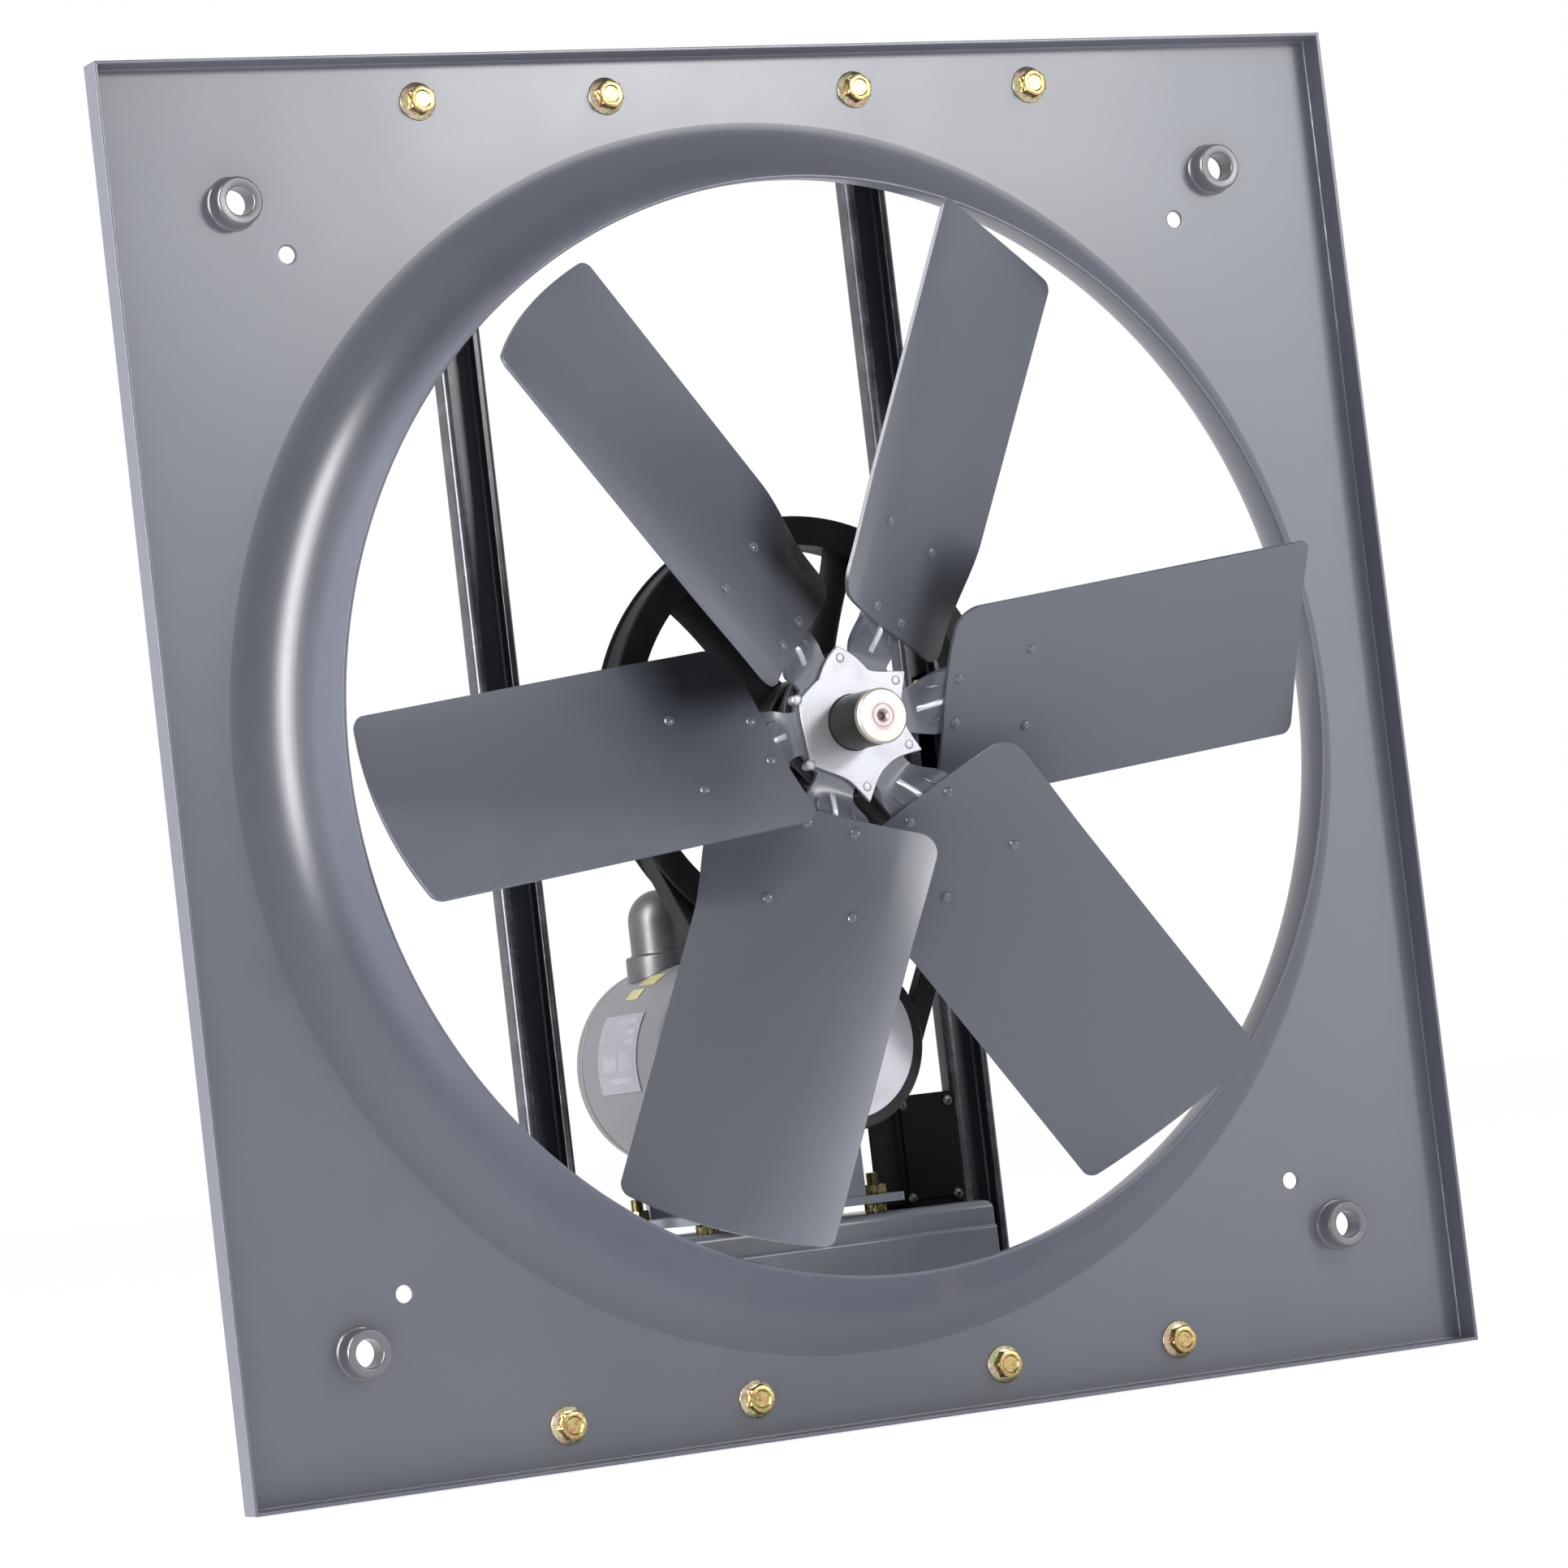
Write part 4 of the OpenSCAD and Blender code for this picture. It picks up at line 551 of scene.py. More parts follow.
def enamel_group():
    """Sprayed enamel: cloudy tone, fine orange peel and settled dust on faces that look up."""
    def build(t, given):
        """Nodes of the group."""
        where = t.coords()
        cloud = t.noise(where, 7.0, 4.0)
        fine = t.noise(where, 900.0, 2.0)
        peel = t.noise(where, given["Peel scale"], 2.0)
        normal = t.add("NewGeometry").outputs["Normal"]
        up = t.add("SeparateXYZ", {0: normal}).outputs[2]
        settle = t.math("MULTIPLY", t.remap(up, 0.45, 1.0), t.remap(t.noise(where, 38.0, 5.0), 0.35, 0.75))
        settle = t.math("MULTIPLY", settle, given["Dust"])
        tone = t.math("ADD", t.math("MULTIPLY", cloud, 0.7), t.math("MULTIPLY", fine, 0.3))
        low = t.mix(1.0, given["Colour"], (0.93, 0.93, 0.94), "MULTIPLY")
        high = t.mix(1.0, given["Colour"], (1.07, 1.07, 1.06), "MULTIPLY")
        colour = t.mix(t.remap(tone, 0.25, 0.75), low, high)
        colour = t.mix(t.math("MULTIPLY", settle, 0.7), colour, (0.42, 0.41, 0.39))
        rough = t.math("ADD", given["Roughness"], t.math("MULTIPLY", t.remap(cloud, 0.2, 0.8), 0.07))
        rough = t.math("ADD", rough, t.math("MULTIPLY", settle, 0.3), True)
        height = t.math("ADD", t.math("MULTIPLY", peel, 1.0), t.math("MULTIPLY", fine, 0.25))
        return {"Colour": colour, "Roughness": rough, "Height": height}

    return node_group(
        "Sprayed enamel",
        [("Colour", "Color", (0.2, 0.2, 0.2)), ("Roughness", "Float", 0.4), ("Dust", "Float", 0.3),
         ("Peel scale", "Float", 260.0)],
        [("Colour", "Color"), ("Roughness", "Float"), ("Height", "Float")],
        build,
    )


def wear_group():
    """Mask of rubbed edges: where the surface turns sharply, broken up by a patchy noise."""
    def build(t, given):
        """Nodes of the group."""
        where = t.coords()
        ridge = t.remap(t.add("NewGeometry").outputs["Pointiness"], 0.53, 0.64)
        patch = t.remap(t.noise(where, given["Scale"], 6.0, 0.7), 0.46, 0.62)
        chip = t.remap(t.noise(where, 900.0, 3.0), 0.5, 0.58)
        mask = t.math("MULTIPLY", t.math("MULTIPLY", ridge, patch), t.remap(chip, 0.0, 1.0, 0.5, 1.0))
        return {"Mask": t.math("MULTIPLY", mask, given["Amount"], True)}

    return node_group(
        "Rubbed edges", [("Amount", "Float", 0.5), ("Scale", "Float", 60.0)], [("Mask", "Float")], build
    )


def lathe_group():
    """Rings left by turning about an axis along Y, whose height is given, and a slow stain."""
    def build(t, given):
        """Nodes of the group."""
        where = t.coords()
        axes = t.add("SeparateXYZ", {0: where}).outputs
        z = t.math("SUBTRACT", axes[2], given["Axis height"])
        radius = t.math("SQRT", t.math("ADD", t.math("MULTIPLY", axes[0], axes[0]), t.math("MULTIPLY", z, z)))
        along = t.math("ADD", radius, t.math("MULTIPLY", axes[1], 0.83))
        flat = t.add("CombineXYZ", {0: along, 1: 0.0, 2: 0.0}).outputs[0]
        rings = t.noise(flat, given["Fineness"], 4.0, 0.65)
        stain = t.noise(where, 55.0, 4.0)
        return {"Rings": rings, "Stain": stain}

    return node_group(
        "Turning marks",
        [("Axis height", "Float", 0.0), ("Fineness", "Float", 1500.0)],
        [("Rings", "Float"), ("Stain", "Float")],
        build,
    )


def grain_group():
    """Cast or moulded grain as a height, with a light and dark mottle."""
    def build(t, given):
        """Nodes of the group."""
        where = t.coords()
        coarse = t.noise(where, given["Scale"], 5.0, 0.6)
        fine = t.noise(where, t.math("MULTIPLY", given["Scale"], 4.0), 3.0)
        height = t.math("ADD", t.math("MULTIPLY", coarse, 0.7), t.math("MULTIPLY", fine, 0.3))
        return {"Height": height, "Mottle": t.remap(t.noise(where, 45.0, 4.0), 0.3, 0.7)}

    return node_group("Grain", [("Scale", "Float", 400.0)], [("Height", "Float"), ("Mottle", "Float")], build)


def new_material(name):
    """An empty material with its Principled shader: the tree, the shader."""
    material = bpy.data.materials.new(name)
    material.use_nodes = True
    t = Tree(material.node_tree)
    shader = material.node_tree.nodes["Principled BSDF"]
    return material, t, shader


def use(t, group, values):
    """Adds a node group with these values and gives its outputs."""
    node = t.add("Group", node_tree=group)
    for key, value in values.items():
        t.put(node.inputs[key], value)
    return node.outputs


def bump(t, shader, height, distance, strength=0.5, before=None):
    """Raises the shader's surface by a height, over an earlier bump where one is given."""
    node = t.add("Bump", {"Strength": strength, "Distance": distance, "Height": height})
    if before is not None:
        t.put(node.inputs["Normal"], before)
    t.put(shader.inputs["Normal"], node.outputs[0])
    return node.outputs[0]


def enamel(name, colour, rough=None, dust=None, wear=None, metal=(0.32, 0.32, 0.33)):
    """Painted sheet metal: enamel with orange peel, dust on top faces and paint rubbed from its edges."""
    found = bpy.data.materials.get(name)
    if found:
        return found
    look = finish_of()
    material, t, shader = new_material(name)
    film = use(t, enamel_group(), {
        "Colour": colour, "Roughness": look.paint_rough if rough is None else rough,
        "Dust": look.dust if dust is None else dust,
    })
    worn = use(t, wear_group(), {"Amount": look.wear if wear is None else wear})["Mask"]
    t.put(shader.inputs["Base Color"], t.mix(worn, film["Colour"], metal))
    t.put(shader.inputs["Roughness"], film["Roughness"])
    t.put(shader.inputs["Metallic"], t.math("MULTIPLY", worn, 0.8))
    shader.inputs["Specular IOR Level"].default_value = 0.45
    bump(t, shader, film["Height"], 0.00005, 0.35)
    return material


def mouth_enamel(name, colour):
    """Enamel of the spun mouth, with faint rings left by the spinning."""
    material = enamel(name, colour)
    t = Tree(material.node_tree)
    shader = material.node_tree.nodes["Principled BSDF"]
    shader.inputs["Specular IOR Level"].default_value = 0.24
    before = shader.inputs["Normal"].links[0].from_socket
    marks = use(t, lathe_group(), {"Fineness": 260.0})
    bump(t, shader, marks["Rings"], 0.00022, 0.35, before)
    return material


def bare_metal(name, colour, rough, axis_z=0.0, fine=1500.0, stain=(0.25, 0.24, 0.22), stain_share=0.25,
               metallic=1.0):
    """Turned or plated metal: turning rings in its gloss and height, and a thin stain."""
    found = bpy.data.materials.get(name)
    if found:
        return found
    material, t, shader = new_material(name)
    marks = use(t, lathe_group(), {"Axis height": axis_z, "Fineness": fine})
    low = t.mix(1.0, colour, (0.86, 0.86, 0.86), "MULTIPLY")
    tone = t.mix(t.remap(marks["Rings"], 0.35, 0.65), low, colour)
    spread = t.math("MULTIPLY", t.remap(marks["Stain"], 0.5, 0.72), stain_share)
    t.put(shader.inputs["Base Color"], t.mix(spread, tone, stain))
    gloss = t.math("ADD", t.math("MULTIPLY", marks["Rings"], 0.14), rough - 0.07)
    t.put(shader.inputs["Roughness"], t.math("ADD", gloss, t.math("MULTIPLY", spread, 0.25), True))
    shader.inputs["Metallic"].default_value = metallic
    bump(t, shader, marks["Rings"], 0.00003, 0.4)
    return material


def zinc_metal(name, colour):
    """Yellow passivated zinc: gold that drifts to pink and green, with dull patches."""
    found = bpy.data.materials.get(name)
    if found:
        return found
    material, t, shader = new_material(name)
    where = t.coords()
    drift = t.noise(where, 150.0, 3.0)
    patch = t.remap(t.noise(where, 320.0, 4.0), 0.4, 0.65)
    pink = t.mix(1.0, colour, (1.0, 0.78, 0.8), "MULTIPLY")
    green = t.mix(1.0, colour, (0.9, 1.0, 0.7), "MULTIPLY")
    tone = t.mix(t.remap(drift, 0.42, 0.58), pink, green)
    tone = t.mix(t.math("MULTIPLY", patch, 0.35), tone, colour)
    dull = t.mix(1.0, colour, (0.42, 0.4, 0.36), "MULTIPLY")
    spots = t.remap(t.noise(where, 520.0, 3.0), 0.5, 0.6)
    t.put(shader.inputs["Base Color"], t.mix(t.math("MULTIPLY", spots, 0.65), tone, dull))
    t.put(shader.inputs["Roughness"], t.remap(patch, 0.0, 1.0, 0.24, 0.42))
    shader.inputs["Metallic"].default_value = 0.9
    bump(t, shader, drift, 0.00004, 0.3)
    return material


def casting(name, colour, rough=0.5, grain=350.0, depth=0.00025, specular=0.45, wear=0.0):
    """Painted iron casting or moulded plastic, by the scale and depth of its grain."""
    found = bpy.data.materials.get(name)
    if found:
        return found
    material, t, shader = new_material(name)
    skin = use(t, grain_group(), {"Scale": grain})
    low = t.mix(1.0, colour, (0.8, 0.8, 0.8), "MULTIPLY")
    high = t.mix(1.0, colour, (1.25, 1.25, 1.25), "MULTIPLY")
    tone = t.mix(skin["Mottle"], low, high)
    if wear:
        worn = use(t, wear_group(), {"Amount": wear})["Mask"]
        tone = t.mix(worn, tone, (0.3, 0.29, 0.28))
    t.put(shader.inputs["Base Color"], tone)
    t.put(shader.inputs["Roughness"], t.remap(skin["Mottle"], 0.0, 1.0, rough - 0.08, rough + 0.08))
    shader.inputs["Specular IOR Level"].default_value = specular
    bump(t, shader, skin["Height"], depth, 0.5)
    return material


def panel_paint():
    """Paint of the flat panel, which has no edge to rub."""
    return enamel("Panel enamel", tuple(finish_of().panel_paint), wear=0.0)


def sheet_paint():
    """Paint of the legs, the bridge and the panel's turned edge."""
    return enamel("Frame enamel", tuple(finish_of().panel_paint))


def post_paint():
    """Dark paint of the posts and cleats, with bright edges: partly worn paint, partly a painted highlight.
    """
    # Strong wear over pale metal: partly worn edges, partly a painted highlight on the lit lips.
    return enamel("Post enamel", tuple(finish_of().post_paint), rough=0.28, wear=0.8, metal=(0.5, 0.51, 0.55))


def blade_paint():
    """Paint of the spider, a little worn."""
    return enamel("Spider enamel", tuple(finish_of().blade_paint), wear=0.35)


def blade_enamel():
    """Blade paint with painted shade: near black and almost without gloss in the turned back corner of the
    root.
    """
    found = bpy.data.materials.get("Blade enamel")
    if found:
        return found
    material = enamel("Blade enamel", tuple(finish_of().blade_paint), wear=0.35)
    t = Tree(material.node_tree)
    shader = material.node_tree.nodes["Principled BSDF"]
    # The turned back root corner is painted near black and its gloss is taken away: painted shade and a
    # painted dark reflection.
    film = t.add("Attribute", attribute_name="root_painted_shade").outputs["Fac"]
    film = t.math("MULTIPLY", film, t.remap(t.noise(t.coords(), 30.0, 4.0), 0.2, 0.5, 0.85, 1.0))
    clean = shader.inputs["Base Color"].links[0].from_socket
    t.put(shader.inputs["Base Color"], t.mix(film, clean, (0.012, 0.012, 0.014)))
    t.put(shader.inputs["Specular IOR Level"], t.remap(film, 0.0, 1.0, 0.45, 0.03))
    return material


def zinc():
    """Yellow zinc of the bolts and nuts."""
    return zinc_metal("Yellow zinc", tuple(finish_of().gold_zinc))


def cast_iron():
    """Black paint of the castings."""
    return casting("Black casting", tuple(finish_of().cast_black), rough=0.55, specular=0.25, wear=0.2)


def motor_enamel():
    """Paint of the motor's shell and bells."""
    return enamel("Motor enamel", tuple(finish_of().motor_paint), rough=0.42, wear=0.2)


# Pieces of the fan


def mouth_profile(s):
    """Front of the mouth from the panel to its lip, as radius and depth."""
    steps = 36
    a = s["mouth_r"] - s["throat_r"] - s["sheet"]
    out = []
    for i in range(steps + 1):
        t = math.pi / 2 * (1 - i / steps)
        out.append((s["mouth_r"] - a * math.cos(t), s["mouth_h"] * math.sin(t) - s["mouth_h"]))
    return out


def foot_bolt_places():
    """Places of the eight flange bolts that hold the legs' feet to the panel."""
    return [(sx * POST_X + f * FOOT_BOLT_X, sz * FOOT_Z) for sx, sz in CORNERS for f in (-1, 1)]


def build_panel():
    """Sheet, turned edge and mouth as one skin with its thickness, and the corner spacers."""
    s = mm_sizes()
    bm = bmesh.new()
    flat_half = s["panel_half"] - s["sheet"] - s["bend"]
    outer, outs = square_loop(flat_half, flat_half, 24)
    steps = 240
    holes = [(0, 0, s["mouth_r"], steps)]
    holes += [(sx * SMALL_HOLE_AT, sz * SMALL_HOLE_AT, 5, 24) for sx, sz in CORNERS]
    holes += [(sx * SPACER_AT, sz * SPACER_AT, 8, 32) for sx, sz in CORNERS]
    holes += [(x, z, 5.5, 24) for x, z in foot_bolt_places()]
    guard = 1.2
    inset = square_loop(flat_half - guard, flat_half - guard, 24)[0]
    guards = flat_sheet(bm, inset, [circle(cx, cz, r + guard, n) for cx, cz, r, n in holes], 0.0)
    loops = []
    for ring, points in zip(guards, [outer, *(circle(*hole) for hole in holes)]):
        loops.append([bm.verts.new((x, 0.0, z)) for x, z in points])
        add_faces(bm, [ring, loops[-1]], smooth=False)
    fold(bm, loops[0], outs, Vector((0, -1, 0)), s["bend"], s["edge"] - s["bend"], True, material=2)
    rings = [loops[1]]
    for r, y in mouth_profile(s)[1:]:
        rings.append([bm.verts.new((x, y, z)) for x, z in circle(0, 0, r, steps)])
    add_faces(bm, rings, material=1)
    bmesh.ops.recalc_face_normals(bm, faces=bm.faces)
    centre = max(bm.faces, key=lambda f: f.calc_area())
    if centre.normal.y > 0:
        bmesh.ops.reverse_faces(bm, faces=bm.faces)
    look = finish_of()
    piece("panel_sheet", bm, "frame", "panel",
          [panel_paint(), mouth_enamel("Mouth enamel", tuple(look.panel_paint)), sheet_paint()],
          bevel=s["edge_round"], solid=s["sheet"], limit=50)
    bm = bmesh.new()
    for sx, sz in CORNERS:
        at = shift(sx * SPACER_AT, 0, sz * SPACER_AT) @ ALONG_Y
        lathe(bm, [(14, 0), (14, -9.4), (13.6, -11), (12.6, -12),
                   (9.4, -12), (8.4, -11.4), (8, -10.4), (8, 0)], at, 64)
        lathe(bm, [(13.2, 0), (15.6, 0), (15.2, -0.8), (14.5, -1.5), (13.2, -1.8)], at, 64)
    coat = enamel("Spacer enamel", tuple(look.spacer_paint), wear=0.3)
    piece("corner_spacer_rings", bm, "frame", "corner_spacers", coat, bevel=0.3)


def flange_head(bm, at, angle, flats, flange_r, flange_h, head_h):
    """Flange bolt's head, in front of its seat: cone flange and a dished hexagon."""
    lathe(bm, [(0, 0), (flange_r - 0.4, 0), (flange_r, -0.4), (flange_r - 0.2, -0.9),
               (flats / 2 + 1.2, -flange_h), (flats / 2, -flange_h - 0.5), (0, -flange_h - 0.5)],
          at @ ALONG_Y, 56, 1)
    hex_body(bm, flats, -flange_h, -flange_h - head_h, at @ ALONG_Y, angle, dish=0.9)


def build_panel_bolts():
    """Eight flange bolts through the panel and the legs' feet, and their nuts."""
    heads, nuts = bmesh.new(), bmesh.new()
    for i, (x, z) in enumerate(foot_bolt_places()):
        at = shift(x, 0, z)
        flange_head(heads, at, 0.4 + 0.83 * i, 15, 11, 2, 6)
        lathe(heads, rod_profile(4.9, -1, 14, 0.3), at @ ALONG_Y, 32)
        lathe(heads, threads(4.9, 13.5, 17, 1.5), at @ ALONG_Y, 32)
        turned = at @ ALONG_Y
        lathe(nuts, [(5.1, 6), (10.6, 6), (11, 6.4), (10.8, 6.9), (8.7, 8), (7.5, 8.5), (5.1, 8.5)],
              turned, 56)
        hex_body(nuts, 15, 8, 14, turned, 0.2 + 0.61 * i, hole=5.1)
    # The flanges use a paler copy of the heads' zinc: partly the zinc's own tone, partly painted light on the
    # flat flange faces.
    pale = zinc_metal("Pale zinc", tuple(finish_of().pale_zinc))
    piece("panel_flange_bolts", heads, "frame", "panel_bolts", [zinc(), pale], sharp=28)
    piece("panel_flange_nuts", nuts, "frame", "panel_nuts", zinc(), sharp=28)


def through_bolt(bm, at, front, back, angle):
    """M8 hexagon bolt through a grip from front to back, with its nut behind it."""
    r, flats, head, nut = 4.0, 13.0, 5.0, 6.0
    turned = at @ ALONG_Y
    hex_body(bm, flats, front, front - head, turned, angle)
    lathe(bm, rod_profile(r - 0.1, front - 0.5, back + nut - 1, 0.3), turned, 28)
    lathe(bm, threads(r - 0.1, back + nut - 1.2, back + nut + 1, 1.0), turned, 28)
    hex_body(bm, flats, back, back + nut, turned, angle + 0.5, hole=r + 0.1)


def build_frame_bolts():
    """Bolts of the posts, the bridge, the cartridge and the tray's cleats."""
    bm = bmesh.new()
    for i, (sx, sz) in enumerate(CORNERS):
        through_bolt(bm, shift(sx * POST_X, 0, sz * FOOT_Z), LEG_CROWN, POST_BACK, 0.3 * i)
    piece("post_bolt_set", bm, "frame", "post_bolts", zinc(), sharp=28)
    bm = bmesh.new()
    for i, (sx, z) in enumerate((sx, z) for sx in (-1, 1) for z in BRIDGE_BOLT_Z):
        through_bolt(bm, shift(sx * POST_X, 0, z), POST_WALL, BRIDGE_BACK, 0.4 * i)
    piece("bridge_bolt_set", bm, "frame", "bridge_bolts", zinc(), sharp=28)
    bm = bmesh.new()
    for i, (sx, sz) in enumerate(CORNERS):
        at = shift(sx * CARTRIDGE_BOLT[0], 0, sz * CARTRIDGE_BOLT[1])
        through_bolt(bm, at, CARTRIDGE_FLANGE, BRIDGE_BACK, 0.25 * i)
    piece("cartridge_bolt_set", bm, "frame", "cartridge_bolts", zinc(), sharp=28)
    bm = bmesh.new()
    for side in (1, -1):
        flip = Matrix.Scale(side, 4, (1, 0, 0))
        for z in (-292.5, -307.5):
            through_bolt(bm, flip @ shift(POST_X, 0, z), POST_WALL, BRIDGE_BACK, 0.2)
        for y in (POST_BACK + 64 / 3, POST_BACK + 48):
            across = flip @ shift(130, y, -300) @ Matrix.Rotation(math.pi / 2, 4, "Z")
            through_bolt(bm, across, 0, 8, 0.6)
    piece("cleat_bolt_set", bm, "frame", "cleat_bolts", zinc(), sharp=28)


def extruded_strip(bm, path, thickness, low, high, matrix, radius):
    """Sheet strip bent along a flat path and extruded: corners of the path are rounded."""
    prism(bm, strip_outline(fillet_path(path, radius), thickness), low, high, matrix)


def build_posts():
    """Lipped channels, open towards the viewer."""
    for side, name in ((-1, "left"), (1, "right")):
        bm = bmesh.new()
        half, lip, front, back = 12, 3.5, 107, POST_BACK
        path = [(-half + lip, front), (-half, front), (-half, back),
                (half, back), (half, front), (half - lip, front)]
        extruded_strip(bm, path, 2, -392, 392, shift(side * POST_X), [0, 1.6, 2.6, 2.6, 1.6, 0])
        piece("post_" + name, bm, "frame", name + "_post", post_paint(),
              bevel=0.35, limit=50)


def build_legs():
    """Hat shaped legs between the panel and the posts."""
    for sx, sz in CORNERS:
        bm = bmesh.new()
        path = [(-75.5, 2), (-43.5, 2), (-18, LEG_CROWN), (18, LEG_CROWN), (43.5, 2), (75.5, 2)]
        upright = shift(sx * POST_X, 0, sz * FOOT_Z)
        extruded_strip(bm, path, 4, -17, 17, upright, [0, 6, 7, 7, 6, 0])
        side = "left" if sx < 0 else "right"
        level = "lower" if sz < 0 else "upper"
        piece(f"leg_{level}_{side}", bm, "frame", f"{level}_{side}_leg", sheet_paint(),
              bevel=0.6, limit=50)


def cartridge_bolt_holes():
    """Holes for the four bolts of the bearing cartridge."""
    return [circle(sx * CARTRIDGE_BOLT[0], sz * CARTRIDGE_BOLT[1], 4.5, 20) for sx, sz in CORNERS]


def build_bridge():
    """Bearing bridge: a plate with folded flanges and a hole for the cartridge."""
    bm = bmesh.new()
    holes = [circle(0, 0, 34.6, 96), *cartridge_bolt_holes()]
    holes += [circle(sx * POST_X, z, 4.5, 20) for sx in (-1, 1) for z in BRIDGE_BOLT_Z]
    low, high, end, notch, sheet, radius = -52, 41, 153, 129, 4, 4
    bottom, top = low + sheet + radius, high - sheet - radius
    outer = [(-end, low), (-notch, low), (-notch, bottom), (notch, bottom), (notch, low), (end, low),
             (end, high), (notch, high), (notch, top), (-notch, top), (-notch, high), (-end, high)]
    loops = flat_sheet(bm, outer, holes, float(POST_BACK))
    ring = loops[0]
    back = Vector((0, 1, 0))
    for a, b, way in ((2, 3, -1), (8, 9, 1)):
        chain = [ring[a], ring[b]]
        fold(bm, chain, [Vector((0, 0, way))] * 2, back, radius, 18 - sheet - radius, False)
    for face in bm.faces:
        face.normal_update()
    bmesh.ops.recalc_face_normals(bm, faces=bm.faces)
    flat = max(bm.faces, key=lambda f: f.calc_area())
    if flat.normal.y > 0:
        bmesh.ops.reverse_faces(bm, faces=bm.faces)
    piece("bridge_plate", bm, "frame", "bearing_bridge", sheet_paint(),
          bevel=0.6, solid=sheet, limit=50)


def build_cartridge():
    """Bearing cartridge casting with its flange."""
    bm = bmesh.new()
    lathe(bm, [(27.8, 42), (33.0, 42), (34.5, 43.5), (34.5, 104), (36.5, 109), (36.5, 118.5),
               (34.5, 119), (34.5, 180.5), (33, 182), (27.8, 182)], steps=96)
    outline = fillet_path([(-62, -33), (62, -33), (62, 33), (-62, 33)], 9, 6, True)
    thick_plate(bm, outline, [circle(0, 0, 34.4, 96), *cartridge_bolt_holes()], CARTRIDGE_FLANGE, POST_BACK)
    piece("cartridge_casting", bm, "frame", "bearing_cartridge", cast_iron(),
          bevel=1.0)


# Blades and spider: pitches in degrees, other sizes in millimetres

ROOT_PITCH = 31
TIP_PITCH = 29.5
TIP_CORNER = 6
ROOT_CORNER = 13
TURN_INNER = 78
TURN_OUTER = 134


def ramp(value, start, end):
    """Share of the way from start to end, held between 0 and 1."""
    return min(1.0, max(0.0, (value - start) / (end - start)))


def ease(share_done):
    """Share that starts and ends gently."""
    return share_done * share_done * (3 - 2 * share_done)


def pitch_at(s, rho):
    """Pitch of a blade at a radius, in radians."""
    t = ramp(rho, s["root_r"], s["tip_r"])
    return math.radians(ROOT_PITCH + (TIP_PITCH - ROOT_PITCH) * t)


def root_turn(s, rho, c):
    """How far a blade's surface is turned back or bent forward near its root."""
    fade = 1 - ease(ramp(rho, TURN_INNER, TURN_OUTER))
    lead = max(0.0, (-c - s["chord"] / 12) / (s["chord"] / 2.4))
    trail = max(0.0, (c - s["chord"] / 3.1) / (s["chord"] / 5.6))
    return fade * (s["root_back"] * lead * lead - s["root_strip"] * min(1.0, trail))


def blade_point(s, rho, c, lift):
    """Point of a blade on the +X axis: rho along it, c along its chord, lift along its normal."""
    b = pitch_at(s, rho)
    h = s["camber"] * (2 * c / s["chord"]) ** 2 + lift
    return Vector((
        rho,
        -s["blade_front"] - c * math.sin(b) - h * math.cos(b) + root_turn(s, rho, c),
        c * math.cos(b) - h * math.sin(b),
    ))


def root_painted_shade(rho, c):
    """Share of the painted shade that lies in the turned back corner of a blade's root."""
    return ease(ramp(rho, 136, 90)) * ease(ramp(-c, 12, 42))


def corner_cut(c, half, r):
    """How much a rounded corner takes off a blade's end, at c along its chord."""
    past = max(0.0, abs(c) - (half - r))
    return r - math.sqrt(max(0.0, r * r - past * past))


def blade_frame(s, rho, c):
    """Matrix whose Z axis is the blade's normal towards the viewer at that place."""
    b = math.degrees(pitch_at(s, rho)) + math.degrees(math.atan(8 * s["camber"] * c / s["chord"] ** 2))
    return Matrix.Translation(blade_point(s, rho, c, 0)) @ Matrix.Rotation(math.radians(90 + b), 4, "X")


# Strength of the painted shade on each blade, and each rivet's radius and place along the chord
ROOT_SHADE_SHARES = [0.15, 0.7, 1.0, 0.85, 0.2, 0.1]
RIVETS = [(65, -14), (65, 14), (113, -24.5), (113, 24.5)]


def grid_shell(bm, front, back, matrix, material=0, film=None):
    """Closed solid over two equal grids of points. Film is the painted shade at each point of a grid."""
    layer = bm.verts.layers.float.new("root_painted_shade") if film else None
    grids = [[[bm.verts.new(matrix @ p) for p in row] for row in side] for side in (front, back)]
    if film:
        for grid in grids:
            for row, shares in zip(grid, film):
                for vert, value in zip(row, shares):
                    vert[layer] = value
    rows, cols = len(front), len(front[0])
    for side, grid in enumerate(grids):
        for i in range(rows - 1):
            for j in range(cols - 1):
                quad = [grid[i][j], grid[i][j + 1], grid[i + 1][j + 1], grid[i + 1][j]]
                face = bm.faces.new(quad if side == 0 else quad[::-1])
                face.smooth = True
                face.material_index = material
    rim = [(0, j) for j in range(cols - 1)] + [(i, cols - 1) for i in range(rows - 1)]
    rim += [(rows - 1, j) for j in range(cols - 1, 0, -1)] + [(i, 0) for i in range(rows - 1, 0, -1)]
    for k, (i, j) in enumerate(rim):
        m, n = rim[(k + 1) % len(rim)]
        face = bm.faces.new([grids[0][i][j], grids[1][i][j], grids[1][m][n], grids[0][m][n]])
        face.smooth = True
        face.material_index = material


